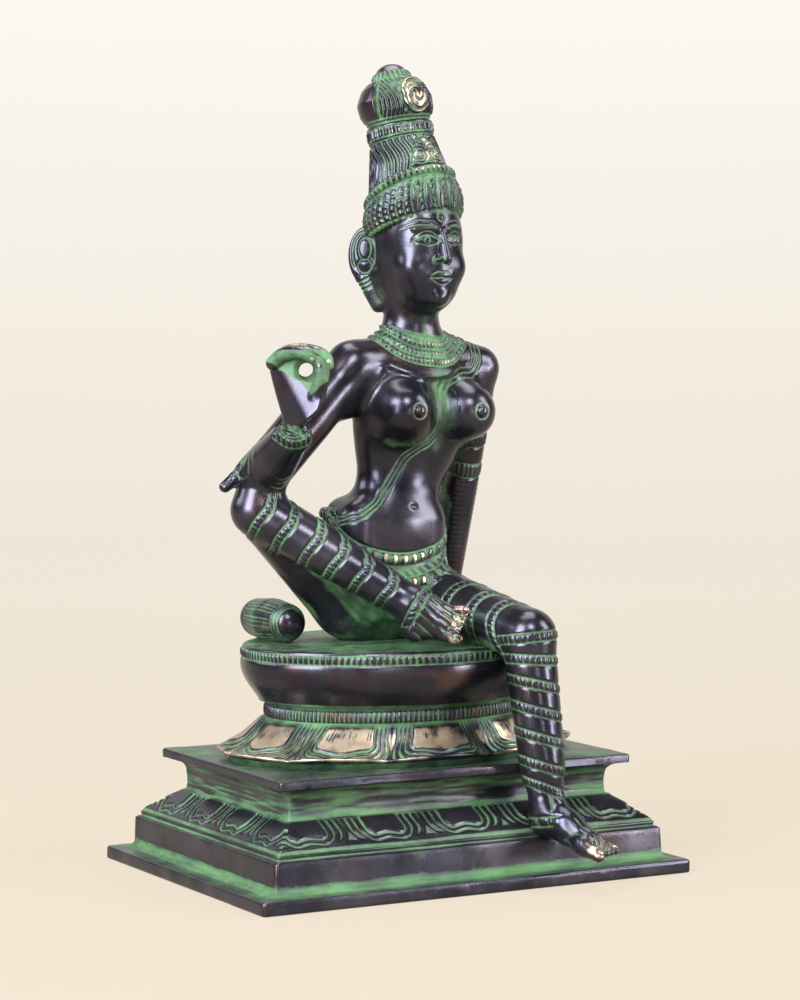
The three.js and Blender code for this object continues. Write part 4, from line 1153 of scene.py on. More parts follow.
def carve_fringe(c, at):
    """Pointed leaf locks over the brow, with ringlets of short curved grooves between and beside them."""
    fringe = window(at.share, *FRINGE, 0.008)
    locks = np.zeros(len(at.share))
    for k in range(5):
        local = (at.off - (k - 2) * LOCKS["pitch"]) / LOCKS["half"]
        reach = held(np.sin(held((at.share + 0.005) / 0.165) ** 0.8 * np.pi)) ** 0.6
        edge = np.abs(local) - 0.62 * reach
        own = fringe * (np.abs(local) < 1.4)
        locks = np.maximum(locks, own * (1 - smoothstep(0.02, 0.2, edge)))
        c.height += own * 1.2 * (1 - smoothstep(-0.3, 0.1, edge))
        c.line(edge * 2.1, own, 0.55, 0.5)
        c.line(local * 2.2, own * (edge < -0.2) * 0.7, 0.25, 0.2)
    ringlet = fringe * (1 - locks)
    column = (at.off / 9.5 + 0.25 * np.sin(at.h * 0.5) + 0.5) % 1 * 2 - 1
    c.height += ringlet * 0.45 * (1 - column ** 2)
    c.stain(ringlet * (0.3 + 0.6 * smoothstep(0.72, 0.95, np.abs(column))))
    grooved(c, ringlet, at.h / 1.9 + 0.55 * column ** 2 + 0.1 * at.fine, 0.2, 0.1, 0.75)
    c.stain(0.75 * fringe * (1 - locks) * smoothstep(0.135, 0.175, at.share))
    lower_edge = window(at.share, -0.02, 0.016, 0.004)
    c.stain(lower_edge)
    c.height -= 0.3 * lower_edge
    return locks


def carve_diadem(c, at):
    """A row of beads with a rim on both sides."""
    row = window(at.share, *DIADEM, 0.005)
    bead = smoothstep(-0.5, 0.8, np.cos(at.around * 48)) * hill((at.share - 0.22) * CROWN_HEIGHT, 1.0)
    c.stain(row * (1 - bead))
    c.height += 0.6 * bead * row
    c.green *= 1 - 0.85 * bead * row
    c.shine(row * bead * (1 - smoothstep(16, 44, np.abs(at.off))) * held(0.6 + 0.3 * at.fine))
    crown_rims(c, at, (0.19, 0.25), 0.45, 0.35)


def crown_rims(c, at, shares, width, depth):
    for share in shares:
        c.line((at.share - share) * CROWN_HEIGHT, 1.0, width, depth)


def carve_tier(c, at):
    """A pointed ornament in front, upright locks beside it, and strands round the back."""
    tier = window(at.share, *TIER, 0.008)
    peak = held((at.share - 0.27) / 0.22)
    aside = np.abs(at.across)
    leaf = aside - 7.6 * (1 - peak) ** 0.55
    c.height += tier * 1.2 * (1 - smoothstep(-0.5, 0.3, leaf))
    c.line(leaf, tier, 0.45, 0.35)
    scroll = np.hypot((aside - 3.1) / 1.0, (at.h - 0.345 * CROWN_HEIGHT) / 1.35)
    c.lines(scroll, (0.9, 2.3, 3.7, 5.1), tier * (leaf < -0.4), 0.38, 0.35)
    c.shine(tier * (leaf < -0.3) * (1 - 0.8 * c.green) * np.clip(0.56 + 0.4 * at.fine, 0, 0.8))
    beside = tier * (leaf > 0.4) * (1 - smoothstep(76, 82, np.abs(at.off)))
    grooved(c, beside, (aside + 2.2 * np.sin(peak * 2.6 + 0.4)) / 2.5 + 0.1 * at.wave, 0.45, -0.15)
    c.stain(beside * 0.45 * smoothstep(-0.6, 0.6, at.fine))
    back = tier * smoothstep(76, 82, np.abs(at.off))
    grooved(c, back, (at.across + 1.2 * np.sin(at.h * 0.45)) / 3.2, 0.35, 0.3, 0.7)


def carve_ticks(c, at):
    """A ring of ticks between two mouldings."""
    ticks = window(at.share, *TICKS, 0.006)
    tick = np.cos(at.around * 30)
    c.height += ticks * 0.35 * tick
    c.stain(ticks * 0.9 * smoothstep(0.35, 0.9, -tick))
    c.bare(ticks * 0.5 * smoothstep(0.6, 1, tick) * (np.abs(at.off) < 50))
    crown_rims(c, at, (0.522, 0.543, 0.605, 0.632, 0.652), 0.5, 0.4)


def carve_knot(c, at):
    """The knot of hair: locks at the sides, a round boss in front and smooth lobes behind."""
    knot = window(at.share, *KNOT, 0.01)
    sides = knot * window(np.abs(at.off), 14, 64, 2)
    sway = (np.abs(at.across) + 1.3 * np.sin((at.share - 0.65) * 15 + 0.6) + 0.5 * at.wave) / 1.75
    grooved(c, sides, sway, 0.42, 0.3)
    lobes = knot * smoothstep(64, 70, np.abs(at.off))
    swell = held(np.sin((at.share - KNOT[0]) / 0.245 * np.pi))
    c.height += lobes * 0.9 * swell - 0.4 * knot * (1 - lobes) * 0.3
    c.line((np.abs(at.off) - 66) * 0.24, knot, 0.7, 0.8)
    above = (at.share - BOSS["share"]) * CROWN_HEIGHT
    boss = np.hypot(at.across / BOSS["half_width"], above / BOSS["half_height"])
    c.height += knot * 1.5 * (1 - smoothstep(0.9, 1.05, boss))
    on_boss = knot * (boss < 1.02)
    c.green *= 1 - on_boss
    swirl = np.arctan2(above, at.across)
    c.line((boss - 0.78) * 6, on_boss, 0.4, 0.35)
    c.line(np.sin(swirl - boss * 6.5) * boss * 2.6, on_boss * (boss < 0.74) * (boss > 0.12), 0.42, 0.4)
    c.line((boss - 1.03) * 6, knot, 0.55, 0.3)
    c.bare(on_boss * (1 - 0.9 * c.green) * held(0.72 + 0.3 * at.fine))
    return on_boss, lobes


def carve_cap(c, at):
    """A beaded collar under the small domed cap."""
    row = window(at.share, *CAP_BEADS, 0.004)
    bead = np.cos(at.around * 24)
    c.height += row * 0.25 * bead
    c.stain(row * (0.75 - 0.4 * bead))
    crown_rims(c, at, (0.9,), 0.45, 0.4)


def make_crown(count, step):
    up = unit_vector(CROWN_TIP - CROWN_FOOT)
    turn = Vector((0, 1, 0)).rotation_difference(Vector(up.tolist()))
    side = np.array(turn @ Vector((1, 0, 0)))
    front = np.array(turn @ Vector((0, 0, 1)))
    rows = refined([(radius, share * CROWN_HEIGHT) for share, radius in CROWN_PROFILE], step)
    share = np.repeat((rows[:, 1] / CROWN_HEIGHT)[:, None], count, 1)
    radius = np.repeat(rows[:, 0][:, None], count, 1)
    angle = np.repeat((np.arange(count) / count * 2 * np.pi)[None], len(rows), 0)
    # Rows rise towards the front, most of all at the diadem
    ahead = -radius * np.sin(angle)
    above = np.maximum(0, (RISE["until"] - share) / (RISE["until"] - RISE["diadem_share"]))
    below = between(RISE["hairline"], RISE["diadem"], share / RISE["diadem_share"])
    slope = np.where(share < RISE["diadem_share"], below, RISE["diadem"] * above)
    level = share * CROWN_HEIGHT + ahead * slope
    rings = (CROWN_FOOT + vec(0, 0, SEAT_TOP) + up * level[..., None] + front * ahead[..., None]
             + side * (radius * np.cos(angle))[..., None])
    piece = stack("figure_crown", rings)
    c = Carving(*read_points(piece))
    at = SimpleNamespace(share=per_vertex(share), wave=value_noise(c.points, 6, 21),
                         fine=value_noise(c.points, 2, 23))
    at.h = at.share * CROWN_HEIGHT
    at.off = np.degrees(wrapped(per_vertex(angle) + np.pi / 2))
    at.around = np.radians(at.off)
    at.across = at.around * per_vertex(radius)
    locks = carve_fringe(c, at)
    carve_diadem(c, at)
    carve_tier(c, at)
    carve_ticks(c, at)
    on_boss, lobes = carve_knot(c, at)
    carve_cap(c, at)
    patches = 0.55 * smoothstep(0, 0.8, value_noise(c.points, 4, 22))
    c.stain(patches * (at.share < 0.95) * (1 - on_boss) * (1 - lobes) * (1 - locks))
    c.apply(piece)
    return piece


# Seat: lotus, collar and cushion as one oval stack

SEAT_CENTRE = (1.0, 0.6)
LOTUS_HALF = np.array([144.8, 94.6]) / 2
LOTUS = dict(foot=1.6, inset=1.5, rim=2.2, height=13.8, petals=10, relief=3.2, scallop=1.5, first=-94)
COLLAR = dict(height=6, width=0.76, depth=0.82, bulge=0.7, groove=0.8, groove_from=0.8)
CUSHION = dict(height=21.4, width=0.865, depth=0.95, round=2.2, line_band=2.8)
COLLAR_BEADS = 168
CUSHION_TICKS = 150

LOTUS_FOOT = PLINTH_TOP + LOTUS["foot"]
LOTUS_TOP = LOTUS_FOOT + LOTUS["height"]
COLLAR_TOP = LOTUS_TOP + COLLAR["height"]
CUSHION_HALF = LOTUS_HALF * (CUSHION["width"], CUSHION["depth"])
PETAL_ONE = math.radians(LOTUS["first"])


def seat_rows(step):
    """Rows of half-width, half-depth, share of the petals' lobes, share of their lift, and level."""
    a, b = LOTUS_HALF - LOTUS["relief"]
    ca, cb = a * COLLAR["width"], b * COLLAR["depth"]
    qa, qb = CUSHION_HALF
    rows = [(a - LOTUS["inset"], b - LOTUS["inset"], 0, 0, level) for level in (PLINTH_TOP, LOTUS_FOOT)]
    rows.append((a, b, 1, 1, LOTUS_FOOT + LOTUS["scallop"]))
    for t in np.linspace(0, 1, 17)[:-1]:
        eased = t + 0.25 * math.sin(t * math.pi) * (1 - t)
        rows.append((between(a, ca, eased), between(b, cb, eased), (1 - t) ** 0.6, 1 - t,
                     LOTUS_FOOT + LOTUS["rim"] + (LOTUS["height"] - LOTUS["rim"]) * t))
    rows.append((ca, cb, 0, 0, LOTUS_TOP))
    for t in np.linspace(0, 1, 9)[1:]:
        if t < COLLAR["groove_from"]:
            bulge = COLLAR["bulge"] * math.sin(min(1, t * 1.25) * math.pi) ** 0.4
        else:
            bulge = -COLLAR["groove"] * (t - COLLAR["groove_from"]) * 5
        rows.append((ca + bulge, cb + bulge, 0, 0, LOTUS_TOP + COLLAR["height"] * t))
    for t in np.linspace(0, 1, 15):
        swell = math.sin((0.18 + 0.82 * t) * math.pi / 2)
        level = COLLAR_TOP + CUSHION["height"] * 0.02 + (CUSHION["height"] * 0.98 - CUSHION["round"]) * t
        rows.append((between(ca, qa, swell), between(cb, qb, swell), 0, 0, level))
    for t in np.linspace(0, 1, 7)[1:]:
        out, up = quarter(t)
        inward = CUSHION["round"] * out
        rows.append((qa - inward, qb - inward, 0, 0, SEAT_TOP - CUSHION["round"] * (1 - up)))
    rows += [(qa - inward, qb - inward, 0, 0, SEAT_TOP) for inward in (5, 9, 14, 20, 28)]
    rows = refined(rows, step)
    rows[:, 4] = np.minimum(rows[:, 4], SEAT_TOP)
    # Inside its rim the flat top needs only every third row
    inner = rows[:, 4] > SEAT_TOP - 1e-4
    return rows[~inner | (np.cumsum(inner) % 3 == 1) | (rows[:, 0] > qa - 6)]


def carve_lotus(c, at):
    """Petals: a bell-shaped open panel with a waved foot, and lines that hang between the panels."""
    z, wave, fine = at.z, at.wave, at.fine
    t = held((z - LOTUS_FOOT - LOTUS["rim"]) / (LOTUS["height"] - LOTUS["rim"]))
    run = t * 17
    flare = window(z, LOTUS_FOOT + 1.0, LOTUS_TOP - 0.6, 0.3)
    half_pitch = at.stretch * np.pi / LOTUS["petals"]
    x = wrapped((at.angle - PETAL_ONE) * LOTUS["petals"]) / np.pi * half_pitch
    wide = half_pitch * (0.58 + 0.13 * (1 - t) ** 1.6)
    low = 2.7 - 0.9 * np.cos(x / wide * math.pi * 1.35)
    edge = panel_edge(np.abs(x) - wide, low - run, 4.2)
    lines = flare * smoothstep(0.1, 0.7, run)
    c.line(edge, lines, 0.5, 0.55)
    aside = smoothstep(-1, 0.5, np.abs(x) - wide)
    for k in range(3):
        c.line(edge - 2.1 * (k + 1), lines * (1 - (k > 0) * (1 - aside)), 0.55, 0.5)
    c.height += flare * 0.35 * (1 - smoothstep(-0.8, 0.2, edge))
    hatch = smoothstep(0.2, 0.9, np.cos(x * 4.6 + fine))
    hatch = hatch * smoothstep(-0.4, 0.4, fine + 0.3 - np.abs(run - 11) / 4.5)
    panel = flare * (1 - smoothstep(-1.3, -0.5, edge))
    c.stain(panel * hatch * 0.8)
    dull = smoothstep(-0.1, 0.7, value_noise(c.points, 5.5, 33) + 0.4 * fine)
    c.bare(panel * (0.85 + 0.2 * fine) * (1 - 0.8 * hatch) * (1 - 0.34 * dull)
           * (1 - smoothstep(13, 16.5, run)))
    c.bare(0.66 * flare * (edge > 0.8) * (1 - smoothstep(9, 17, run)) * (1 - c.green)
           * smoothstep(-1.1, -0.1, wave))
    rim = hill(run, 0.8) * (z > LOTUS_FOOT + 0.6)
    c.bare(0.35 * rim * smoothstep(-0.2, 0.6, wave))
    c.stain(window(z, PLINTH_TOP - 1, LOTUS_FOOT + 0.9, 0.4) * 0.9)
    c.stain(smoothstep(LOTUS_TOP - 2.6, LOTUS_TOP - 0.5, z) * (z < LOTUS_TOP + 0.1) * 0.8)


def carve_collar(c, at):
    """Upright beads between two green grooves."""
    z, wave, fine = at.z, at.wave, at.fine
    row = window(z, LOTUS_TOP + 0.7, LOTUS_TOP + 4.6, 0.3)
    bead = np.cos(at.angle * COLLAR_BEADS + 0.5 * fine)
    c.height += row * 0.35 * bead
    c.stain(row * smoothstep(-0.3, 0.6, -bead))
    c.wear(0.8 * row * smoothstep(-0.4, 0.5, wave))
    c.bare(0.45 * row * smoothstep(0.2, 0.9, wave) * smoothstep(0, 0.8, bead))
    c.stain(window(z, LOTUS_TOP - 0.6, LOTUS_TOP + 0.7, 0.2) * 0.9
            + window(z, LOTUS_TOP + 4.7, COLLAR_TOP + 1.2, 0.3) * 0.9)
    c.line(z - LOTUS_TOP - 5.2, 1.0, 0.4, 0.3)


def carve_cushion(c, at):
    """A ticked rim above a plain rubbed side."""
    z, wave, fine = at.z, at.wave, at.fine
    side = window(z, COLLAR_TOP + 1, SEAT_TOP - 0.5, 0.5)
    rim = SEAT_TOP - CUSHION["line_band"]
    c.lines(z - rim, (-1.9, 1.6), 1.0, 0.45, 0.4)
    tick = np.cos(at.angle * CUSHION_TICKS + 0.6 * wave)
    between_lines = window(z, rim - 1.7, rim + 1.4, 0.25)
    c.height += between_lines * (0.24 * tick - 0.05)
    c.stain(between_lines * smoothstep(-0.1, 0.7, -tick))
    swell = value_noise(c.points, 19, 34)
    brushed = value_noise(c.points * vec(0.3, 0.3, 1), 4, 35) + 0.5 * swell
    c.wear(0.9 * side * hill((z - (COLLAR_TOP + 10)) / 6, 1) * smoothstep(-0.5, 0.8, brushed))
    bulge = np.sin(held((z - COLLAR_TOP) / (SEAT_TOP - 4.6 - COLLAR_TOP)) ** 1.3 * math.pi)
    c.height += side * (0.2 * wave + 0.7 * swell + 1.1 * bulge)
    c.stain(side * 0.4 * smoothstep(0.5, 1.0, wave * 0.7 + fine * 0.6))
    top = (z > SEAT_TOP - 0.4) * smoothstep(0.8, 2.2, at.inward)
    c.stain(top * (0.75 + 0.35 * fine))


def make_seat(count, step):
    rows = seat_rows(step)
    theta = np.arange(count) / count * 2 * np.pi
    lobe = np.abs(np.sin((theta - (PETAL_ONE + math.pi / LOTUS["petals"])) * LOTUS["petals"] / 2)) ** 0.7
    half_width = rows[:, :1] + LOTUS["relief"] * rows[:, 2:3] * lobe
    half_depth = rows[:, 1:2] + LOTUS["relief"] * rows[:, 2:3] * lobe
    level = rows[:, 4:5] + LOTUS["scallop"] * rows[:, 3:4] * (lobe - 0.5)
    x = SEAT_CENTRE[0] + half_width * np.cos(theta)
    y = SEAT_CENTRE[1] + half_depth * np.sin(theta)
    piece = stack("figure_seat", np.stack([x, y, level], -1))
    c = Carving(*read_points(piece))
    at = SimpleNamespace(z=per_vertex(np.repeat(rows[:, 4:5], count, 1)),
                         angle=per_vertex(np.repeat(theta[None], len(rows), 0)),
                         inward=per_vertex(np.repeat(CUSHION_HALF[0] - rows[:, :1], count, 1)),
                         wave=value_noise(c.points, 8, 31), fine=value_noise(c.points, 2.5, 32))
    at.stretch = np.hypot(LOTUS_HALF[0] * np.sin(at.angle), LOTUS_HALF[1] * np.cos(at.angle))
    for carve in (carve_lotus, carve_collar, carve_cushion):
        carve(c, at)
    c.height[at.z > SEAT_TOP - 0.05] *= 0.4
    c.height[at.z < PLINTH_TOP + 0.3] = 0
    c.apply(piece)
    return piece


# Plinth: oblong rows with crisp corners

FOOT = dict(width=180, depth=135, height=5)
COVE = dict(height=2.6, inset=8.2)
DADO = dict(height=9.4, top_inset=0.3, round=0.8)
FILLET = dict(height=3.2, inset=2.4)
ZONE = dict(height=8.6, side_inset=11.6, front_inset=14.8)
NECK = dict(height=8, waist=0.4)
TOP = dict(height=3.2, overhang=6.6, round=0.8)
CYMA = 4.0
SLAB_EDGE = 0.8
CORNER = dict(radius=1.2, steps=6)
PANEL = dict(width=15.6, pitch=32.2, side_pitch=26.6, corner=4.0, gap=2.8, in_front=5, at_side=4)
TOP_ROWS = (3, 6, 9, 12, 15, 18, 21, 25, 30, 38)  # Distances in from the edge of the flat top

DADO_FOOT = FOOT["height"] + COVE["height"]
DADO_TOP = DADO_FOOT + DADO["height"]
ZONE_FOOT = DADO_TOP + FILLET["height"]
ZONE_TOP = ZONE_FOOT + ZONE["height"]
NECK_TOP = ZONE_TOP + NECK["height"]
EDGE_FOOT = NECK_TOP + CYMA
FOOT_HALF = (FOOT["width"] / 2, FOOT["depth"] / 2)
DADO_HALF = (FOOT["width"] / 2 - COVE["inset"], FOOT["depth"] / 2 - COVE["inset"] + 1.2)
ZONE_HALF = tuple(half - FILLET["inset"] for half in DADO_HALF)
NECK_HALF = (ZONE_HALF[0] - ZONE["side_inset"], ZONE_HALF[1] - ZONE["front_inset"])


def plinth_profile():
    rows = []

    def add(out, z, half=DADO_HALF):
        rows.append((half[0] + out, half[1] + out, z))

    for t in np.linspace(0, 1, 4):
        out, up = quarter(t)
        add(-SLAB_EDGE * (1 - up), SLAB_EDGE * out, FOOT_HALF)
    for t in np.linspace(0, 1, 4):
        out, up = quarter(t)
        add(-SLAB_EDGE * out, FOOT["height"] - SLAB_EDGE * (1 - up), FOOT_HALF)
    for t in np.linspace(0, 1, 9)[:-1]:
        add(2.4 * (1 - t) ** 2, FOOT["height"] + (0.05 + 0.95 * t) * COVE["height"])
    add(0, DADO_FOOT)
    for t in np.linspace(0, 1, 5):
        out, up = quarter(t)
        add(-DADO["top_inset"] - 0.7 * out, DADO_TOP - DADO["round"] * (1 - up))
    for t in np.linspace(0, 1, 6):
        add(-1 - 1.4 * t ** 0.5, DADO_TOP + FILLET["height"] * (0.1 + 0.9 * t ** 2))
    for t in np.linspace(0, 1, 12)[1:]:
        level = ZONE_FOOT + ZONE["height"] * (0.8 * t + 0.2 * math.sin(t * math.pi / 2))
        rows.append((ZONE_HALF[0] - ZONE["side_inset"] * t, ZONE_HALF[1] - ZONE["front_inset"] * t, level))
    for t in np.linspace(0, 1, 9)[1:]:
        add(-NECK["waist"] * math.sin(t * math.pi), ZONE_TOP + NECK["height"] * t, NECK_HALF)
    for t in np.linspace(0, 1, 8)[1:]:
        out, up = quarter(t)
        add(TOP["overhang"] * out, NECK_TOP + CYMA * up, NECK_HALF)
    add(TOP["overhang"], EDGE_FOOT + 0.3, NECK_HALF)
    for t in np.linspace(0, 1, 5):
        out, up = quarter(t)
        add(TOP["overhang"] - TOP["round"] * out, PLINTH_TOP - TOP["round"] * (1 - up), NECK_HALF)
    return rows


def plinth_rows(step):
    """The profile filled in, more finely on the panels, and rows on the flat top."""
    profile = plinth_profile()
    fine_rows = [row for row in profile if DADO_TOP <= row[-1] <= ZONE_TOP + 1]
    first, last = profile.index(fine_rows[0]), profile.index(fine_rows[-1])
    rows = np.concatenate([refined(profile[:first + 1], step)[:-1], refined(fine_rows, step * 0.62)[:-1],
                           refined(profile[last:], step)])
    width, depth = rows[-1][:2]
    return np.concatenate([rows, [(width - inward, depth - inward, PLINTH_TOP) for inward in TOP_ROWS]])


def carve_panels(c, at):
    """Open-topped panels on the sloping zone, their outlines, and lines that hang between them."""
    level, front = at.level, at.side % 2 == 0
    slope = np.where(front, math.hypot(ZONE["front_inset"], ZONE["height"]),
                     math.hypot(ZONE["side_inset"], ZONE["height"]))
    v = held((level - ZONE_FOOT) / ZONE["height"]) * slope
    zone = window(level, ZONE_FOOT + 0.3, ZONE_TOP - 0.3, 0.2)
    count = np.where(front, PANEL["in_front"], PANEL["at_side"])
    pitch = np.where(front, PANEL["pitch"], PANEL["side_pitch"])
    nearest = np.clip(np.round(at.u / pitch + (count - 1) / 2), 0, count - 1)
    du = at.u - (nearest - (count - 1) / 2) * pitch
    half = PANEL["width"] / 2 * (1 + 0.1 * (1 - v / slope)) * np.where(front, 1, 0.86)
    foot = slope * 0.36 + 0.6 * np.cos(du / half * math.pi * 1.4)
    edge = panel_edge(np.abs(du) - half, foot - v, PANEL["corner"])
    c.height += zone * 0.45 * (1 - smoothstep(-0.6, 0.3, edge))
    lines = zone * smoothstep(0.2, 0.9, v) * (1 - smoothstep(-1.4, -0.6, v - slope))
    hanging = smoothstep(-1, 1, np.abs(du) - half) * smoothstep(foot - 4, foot - 1, v)
    for k, outside in enumerate((1.0, 1.0, hanging, hanging)):
        c.line(edge - PANEL["gap"] * k, lines * outside, 0.55, 0.5)
    c.stain(zone * 0.8 * smoothstep(slope - 2.4, slope - 0.6, v))
    c.stain(zone * 0.35 * smoothstep(0.4, 1.0, at.wave + 0.5 * at.fine) * (edge > 0))
    roll = DADO_TOP + 0.55 * FILLET["height"]
    c.height += 0.35 * hill(level - roll, 0.5)
    for groove in (ZONE_FOOT + 0.1, DADO_TOP + 0.25 * FILLET["height"], DADO_TOP + 0.85 * FILLET["height"]):
        c.line(level - groove, 1.0, 0.45, 0.3)


def weather_plinth(c, at):
    """Green in the coves and on the neck, bare metal along the edges."""
    level, corner, wave, fine = at.level, at.corner, at.wave, at.fine
    c.stain(window(level, FOOT["height"] - 0.1, DADO_FOOT + 0.9, 0.5) * 0.95)
    c.stain(window(level, DADO_TOP + 0.1, ZONE_FOOT + 0.4, 0.3) * (0.35 + 0.3 * wave))
    neck = window(level, ZONE_TOP - 0.6, EDGE_FOOT - 0.5, 0.6)
    low_part = hill(level - ZONE_TOP, 2.6)
    high_part = hill(level - EDGE_FOOT + 1.6, 2.2)
    brushed = value_noise(np.stack([at.u * 0.09, level * 1.15, at.side * 50], -1), 1.0, 44)
    c.height += neck * 0.12 * brushed
    c.stain(neck * held(0.46 + 0.4 * low_part + 0.35 * high_part + 0.2 * wave + 0.55 * brushed
                        + 0.4 * hill(corner, 4)))
    dado = window(level, DADO_FOOT + 1, DADO_TOP - 0.6, 0.5)
    c.stain(dado * 0.55 * smoothstep(0.35, 1.0, wave + 0.6 * fine))
    c.stain(dado * 0.75 * hill(corner, 3.5) * smoothstep(-0.4, 0.6, fine))
    edges = np.zeros(len(level))
    for edge_level in (FOOT["height"] - 0.3, PLINTH_TOP - 0.5, DADO_TOP - 0.3, EDGE_FOOT + 0.4):
        edges = np.maximum(edges, hill(level - edge_level, 0.7))
    c.wear(edges * 0.45 * smoothstep(-0.5, 0.5, fine))
    cast = value_noise(c.points, 26, 45) + 0.4 * value_noise(c.points, 9, 46)
    c.height += 0.42 * cast * (1 - neck)
    c.bare(0.3 * edges * smoothstep(0.4, 1.0, value_noise(c.points, 1.2, 43) + 0.5 * wave))
    c.wear(0.7 * hill(corner, 1.6) * (level < DADO_TOP))
    # The flat top has even values, because the thinned mesh has few points there
    top_face = level > PLINTH_TOP - 0.05
    c.green[top_face], c.rub[top_face], c.brass[top_face] = 0.62, 0, 0
    c.height[(level < 0.2) | top_face] = 0


def make_plinth(step):
    rows = plinth_rows(step)
    wide = int(2 * DADO_HALF[0] / step)
    deep = int(2 * DADO_HALF[1] / step)
    # Each side as shares from -1 to 1, then the quarter turn at its end; the front comes first
    places = []
    for side, number in enumerate((wide, deep, wide, deep)):
        places += [(side, 2 * k / number - 1, 0.0) for k in range(number)]
        places += [(side, 1.0, k / CORNER["steps"]) for k in range(CORNER["steps"])]
    side, share, turn = np.array(places).T
    side = side.astype(int)
    radius = CORNER["radius"]
    half_x, half_y = rows[:, :1] - radius, rows[:, 1:2] - radius
    phi = (side - 1) * np.pi / 2 + turn * np.pi / 2
    half_along = np.where(side % 2 == 0, half_x, half_y)
    half_out = np.where(side % 2 == 0, half_y, half_x)
    along = half_along * share
    quarter_turns = np.array([0, 1, 0, -1])
    x = along * quarter_turns[(side + 1) % 4] + half_out * quarter_turns[side] + radius * np.cos(phi)
    y = along * quarter_turns[side] + half_out * quarter_turns[side - 1] + radius * np.sin(phi)
    z = np.repeat(rows[:, 2:3], len(side), 1)
    piece = stack("plinth_metal_body", np.stack([x, y, z], -1))
    c = Carving(*read_points(piece))
    at = SimpleNamespace(level=per_vertex(z), u=per_vertex(along),
                         side=per_vertex(np.repeat(side[None], len(rows), 0)),
                         corner=per_vertex(half_along - np.abs(along) + radius * (1 - turn)),
                         wave=value_noise(c.points, 12, 41), fine=value_noise(c.points, 3, 42))
    carve_panels(c, at)
    weather_plinth(c, at)
    c.apply(piece)
    return piece


# Materials


class Shader:
    """Small builder for one material's nodes."""

    MIX_SOCKETS = {"RGBA": (6, 7, 2), "FLOAT": (2, 3, 0)}  # First and second input, and output, by kind

    def __init__(self, name):
        self.material = bpy.data.materials.new(name)
        self.material.use_nodes = True
        self.tree = self.material.node_tree
        self.tree.nodes.clear()

    def put(self, socket, value):
        if isinstance(value, bpy.types.NodeSocket):
            self.tree.links.new(value, socket)
        elif isinstance(value, tuple) and len(value) == 3 and socket.type == "RGBA":
            socket.default_value = (*value, 1)
        else:
            socket.default_value = value

    def node(self, kind, inputs, **settings):
        made = self.tree.nodes.new("ShaderNode" + kind)
        for name, value in settings.items():
            setattr(made, name, value)
        for name, value in inputs.items():
            self.put(made.inputs[name], value)
        return made

    def attribute(self, name):
        return self.node("Attribute", {}, attribute_name=name).outputs["Fac"]

    def noise(self, scale, detail=4.0, roughness=0.55, stretch=(1, 1, 1)):
        place = self.node("TexCoord", {}).outputs["Object"]
        mapping = self.node("Mapping", {"Vector": place})
        mapping.inputs["Scale"].default_value = stretch
        inputs = {"Vector": mapping.outputs["Vector"], "Scale": scale, "Detail": detail}
        return self.node("TexNoise", {**inputs, "Roughness": roughness}).outputs["Fac"]

    def math(self, operation, a, b):
        return self.node("Math", {0: a, 1: b}, operation=operation).outputs[0]

    def swing(self, noise, amount):
        """Noise moved to lie round zero, times an amount."""
        return self.math("MULTIPLY", self.math("SUBTRACT", noise, 0.5), amount)

    def shares(self, a, share_a, b, share_b):
        return self.math("ADD", self.math("MULTIPLY", a, share_a), self.math("MULTIPLY", b, share_b))

    def ramp(self, value, low, high, to_low=0.0, to_high=1.0):
        inputs = {"Value": value, "From Min": low, "From Max": high, "To Min": to_low, "To Max": to_high}
        return self.node("MapRange", inputs, interpolation_type="SMOOTHSTEP").outputs["Result"]

    def mix(self, factor, a, b, kind="RGBA"):
        first, second, result = self.MIX_SOCKETS[kind]
        made = self.node("Mix", {}, data_type=kind)
        for socket, value in ((0, factor), (first, a), (second, b)):
            self.put(made.inputs[socket], value)
        return made.outputs[result]

    def bump(self, height, strength, distance):
        inputs = {"Strength": strength, "Distance": distance, "Height": height}
        return self.node("Bump", inputs).outputs["Normal"]

    def surface(self, **inputs):
        shader = self.node("BsdfPrincipled", {key.replace("_", " "): value for key, value in inputs.items()})
        self.node("OutputMaterial", {"Surface": shader.outputs[0]})
        return self.material


BROWN, RUBBED = (0.036, 0.019, 0.0145), (0.085, 0.044, 0.028)
DEEP_GREEN, PALE_GREEN = (0.0105, 0.034, 0.0105), (0.047, 0.124, 0.038)
DULL_BRASS, BRIGHT_BRASS = (0.29, 0.222, 0.138), (0.5, 0.4, 0.27)
SATIN = (0.21, 0.32)
GREEN_ROUGHNESS, BRASS_ROUGHNESS = 0.65, 0.38


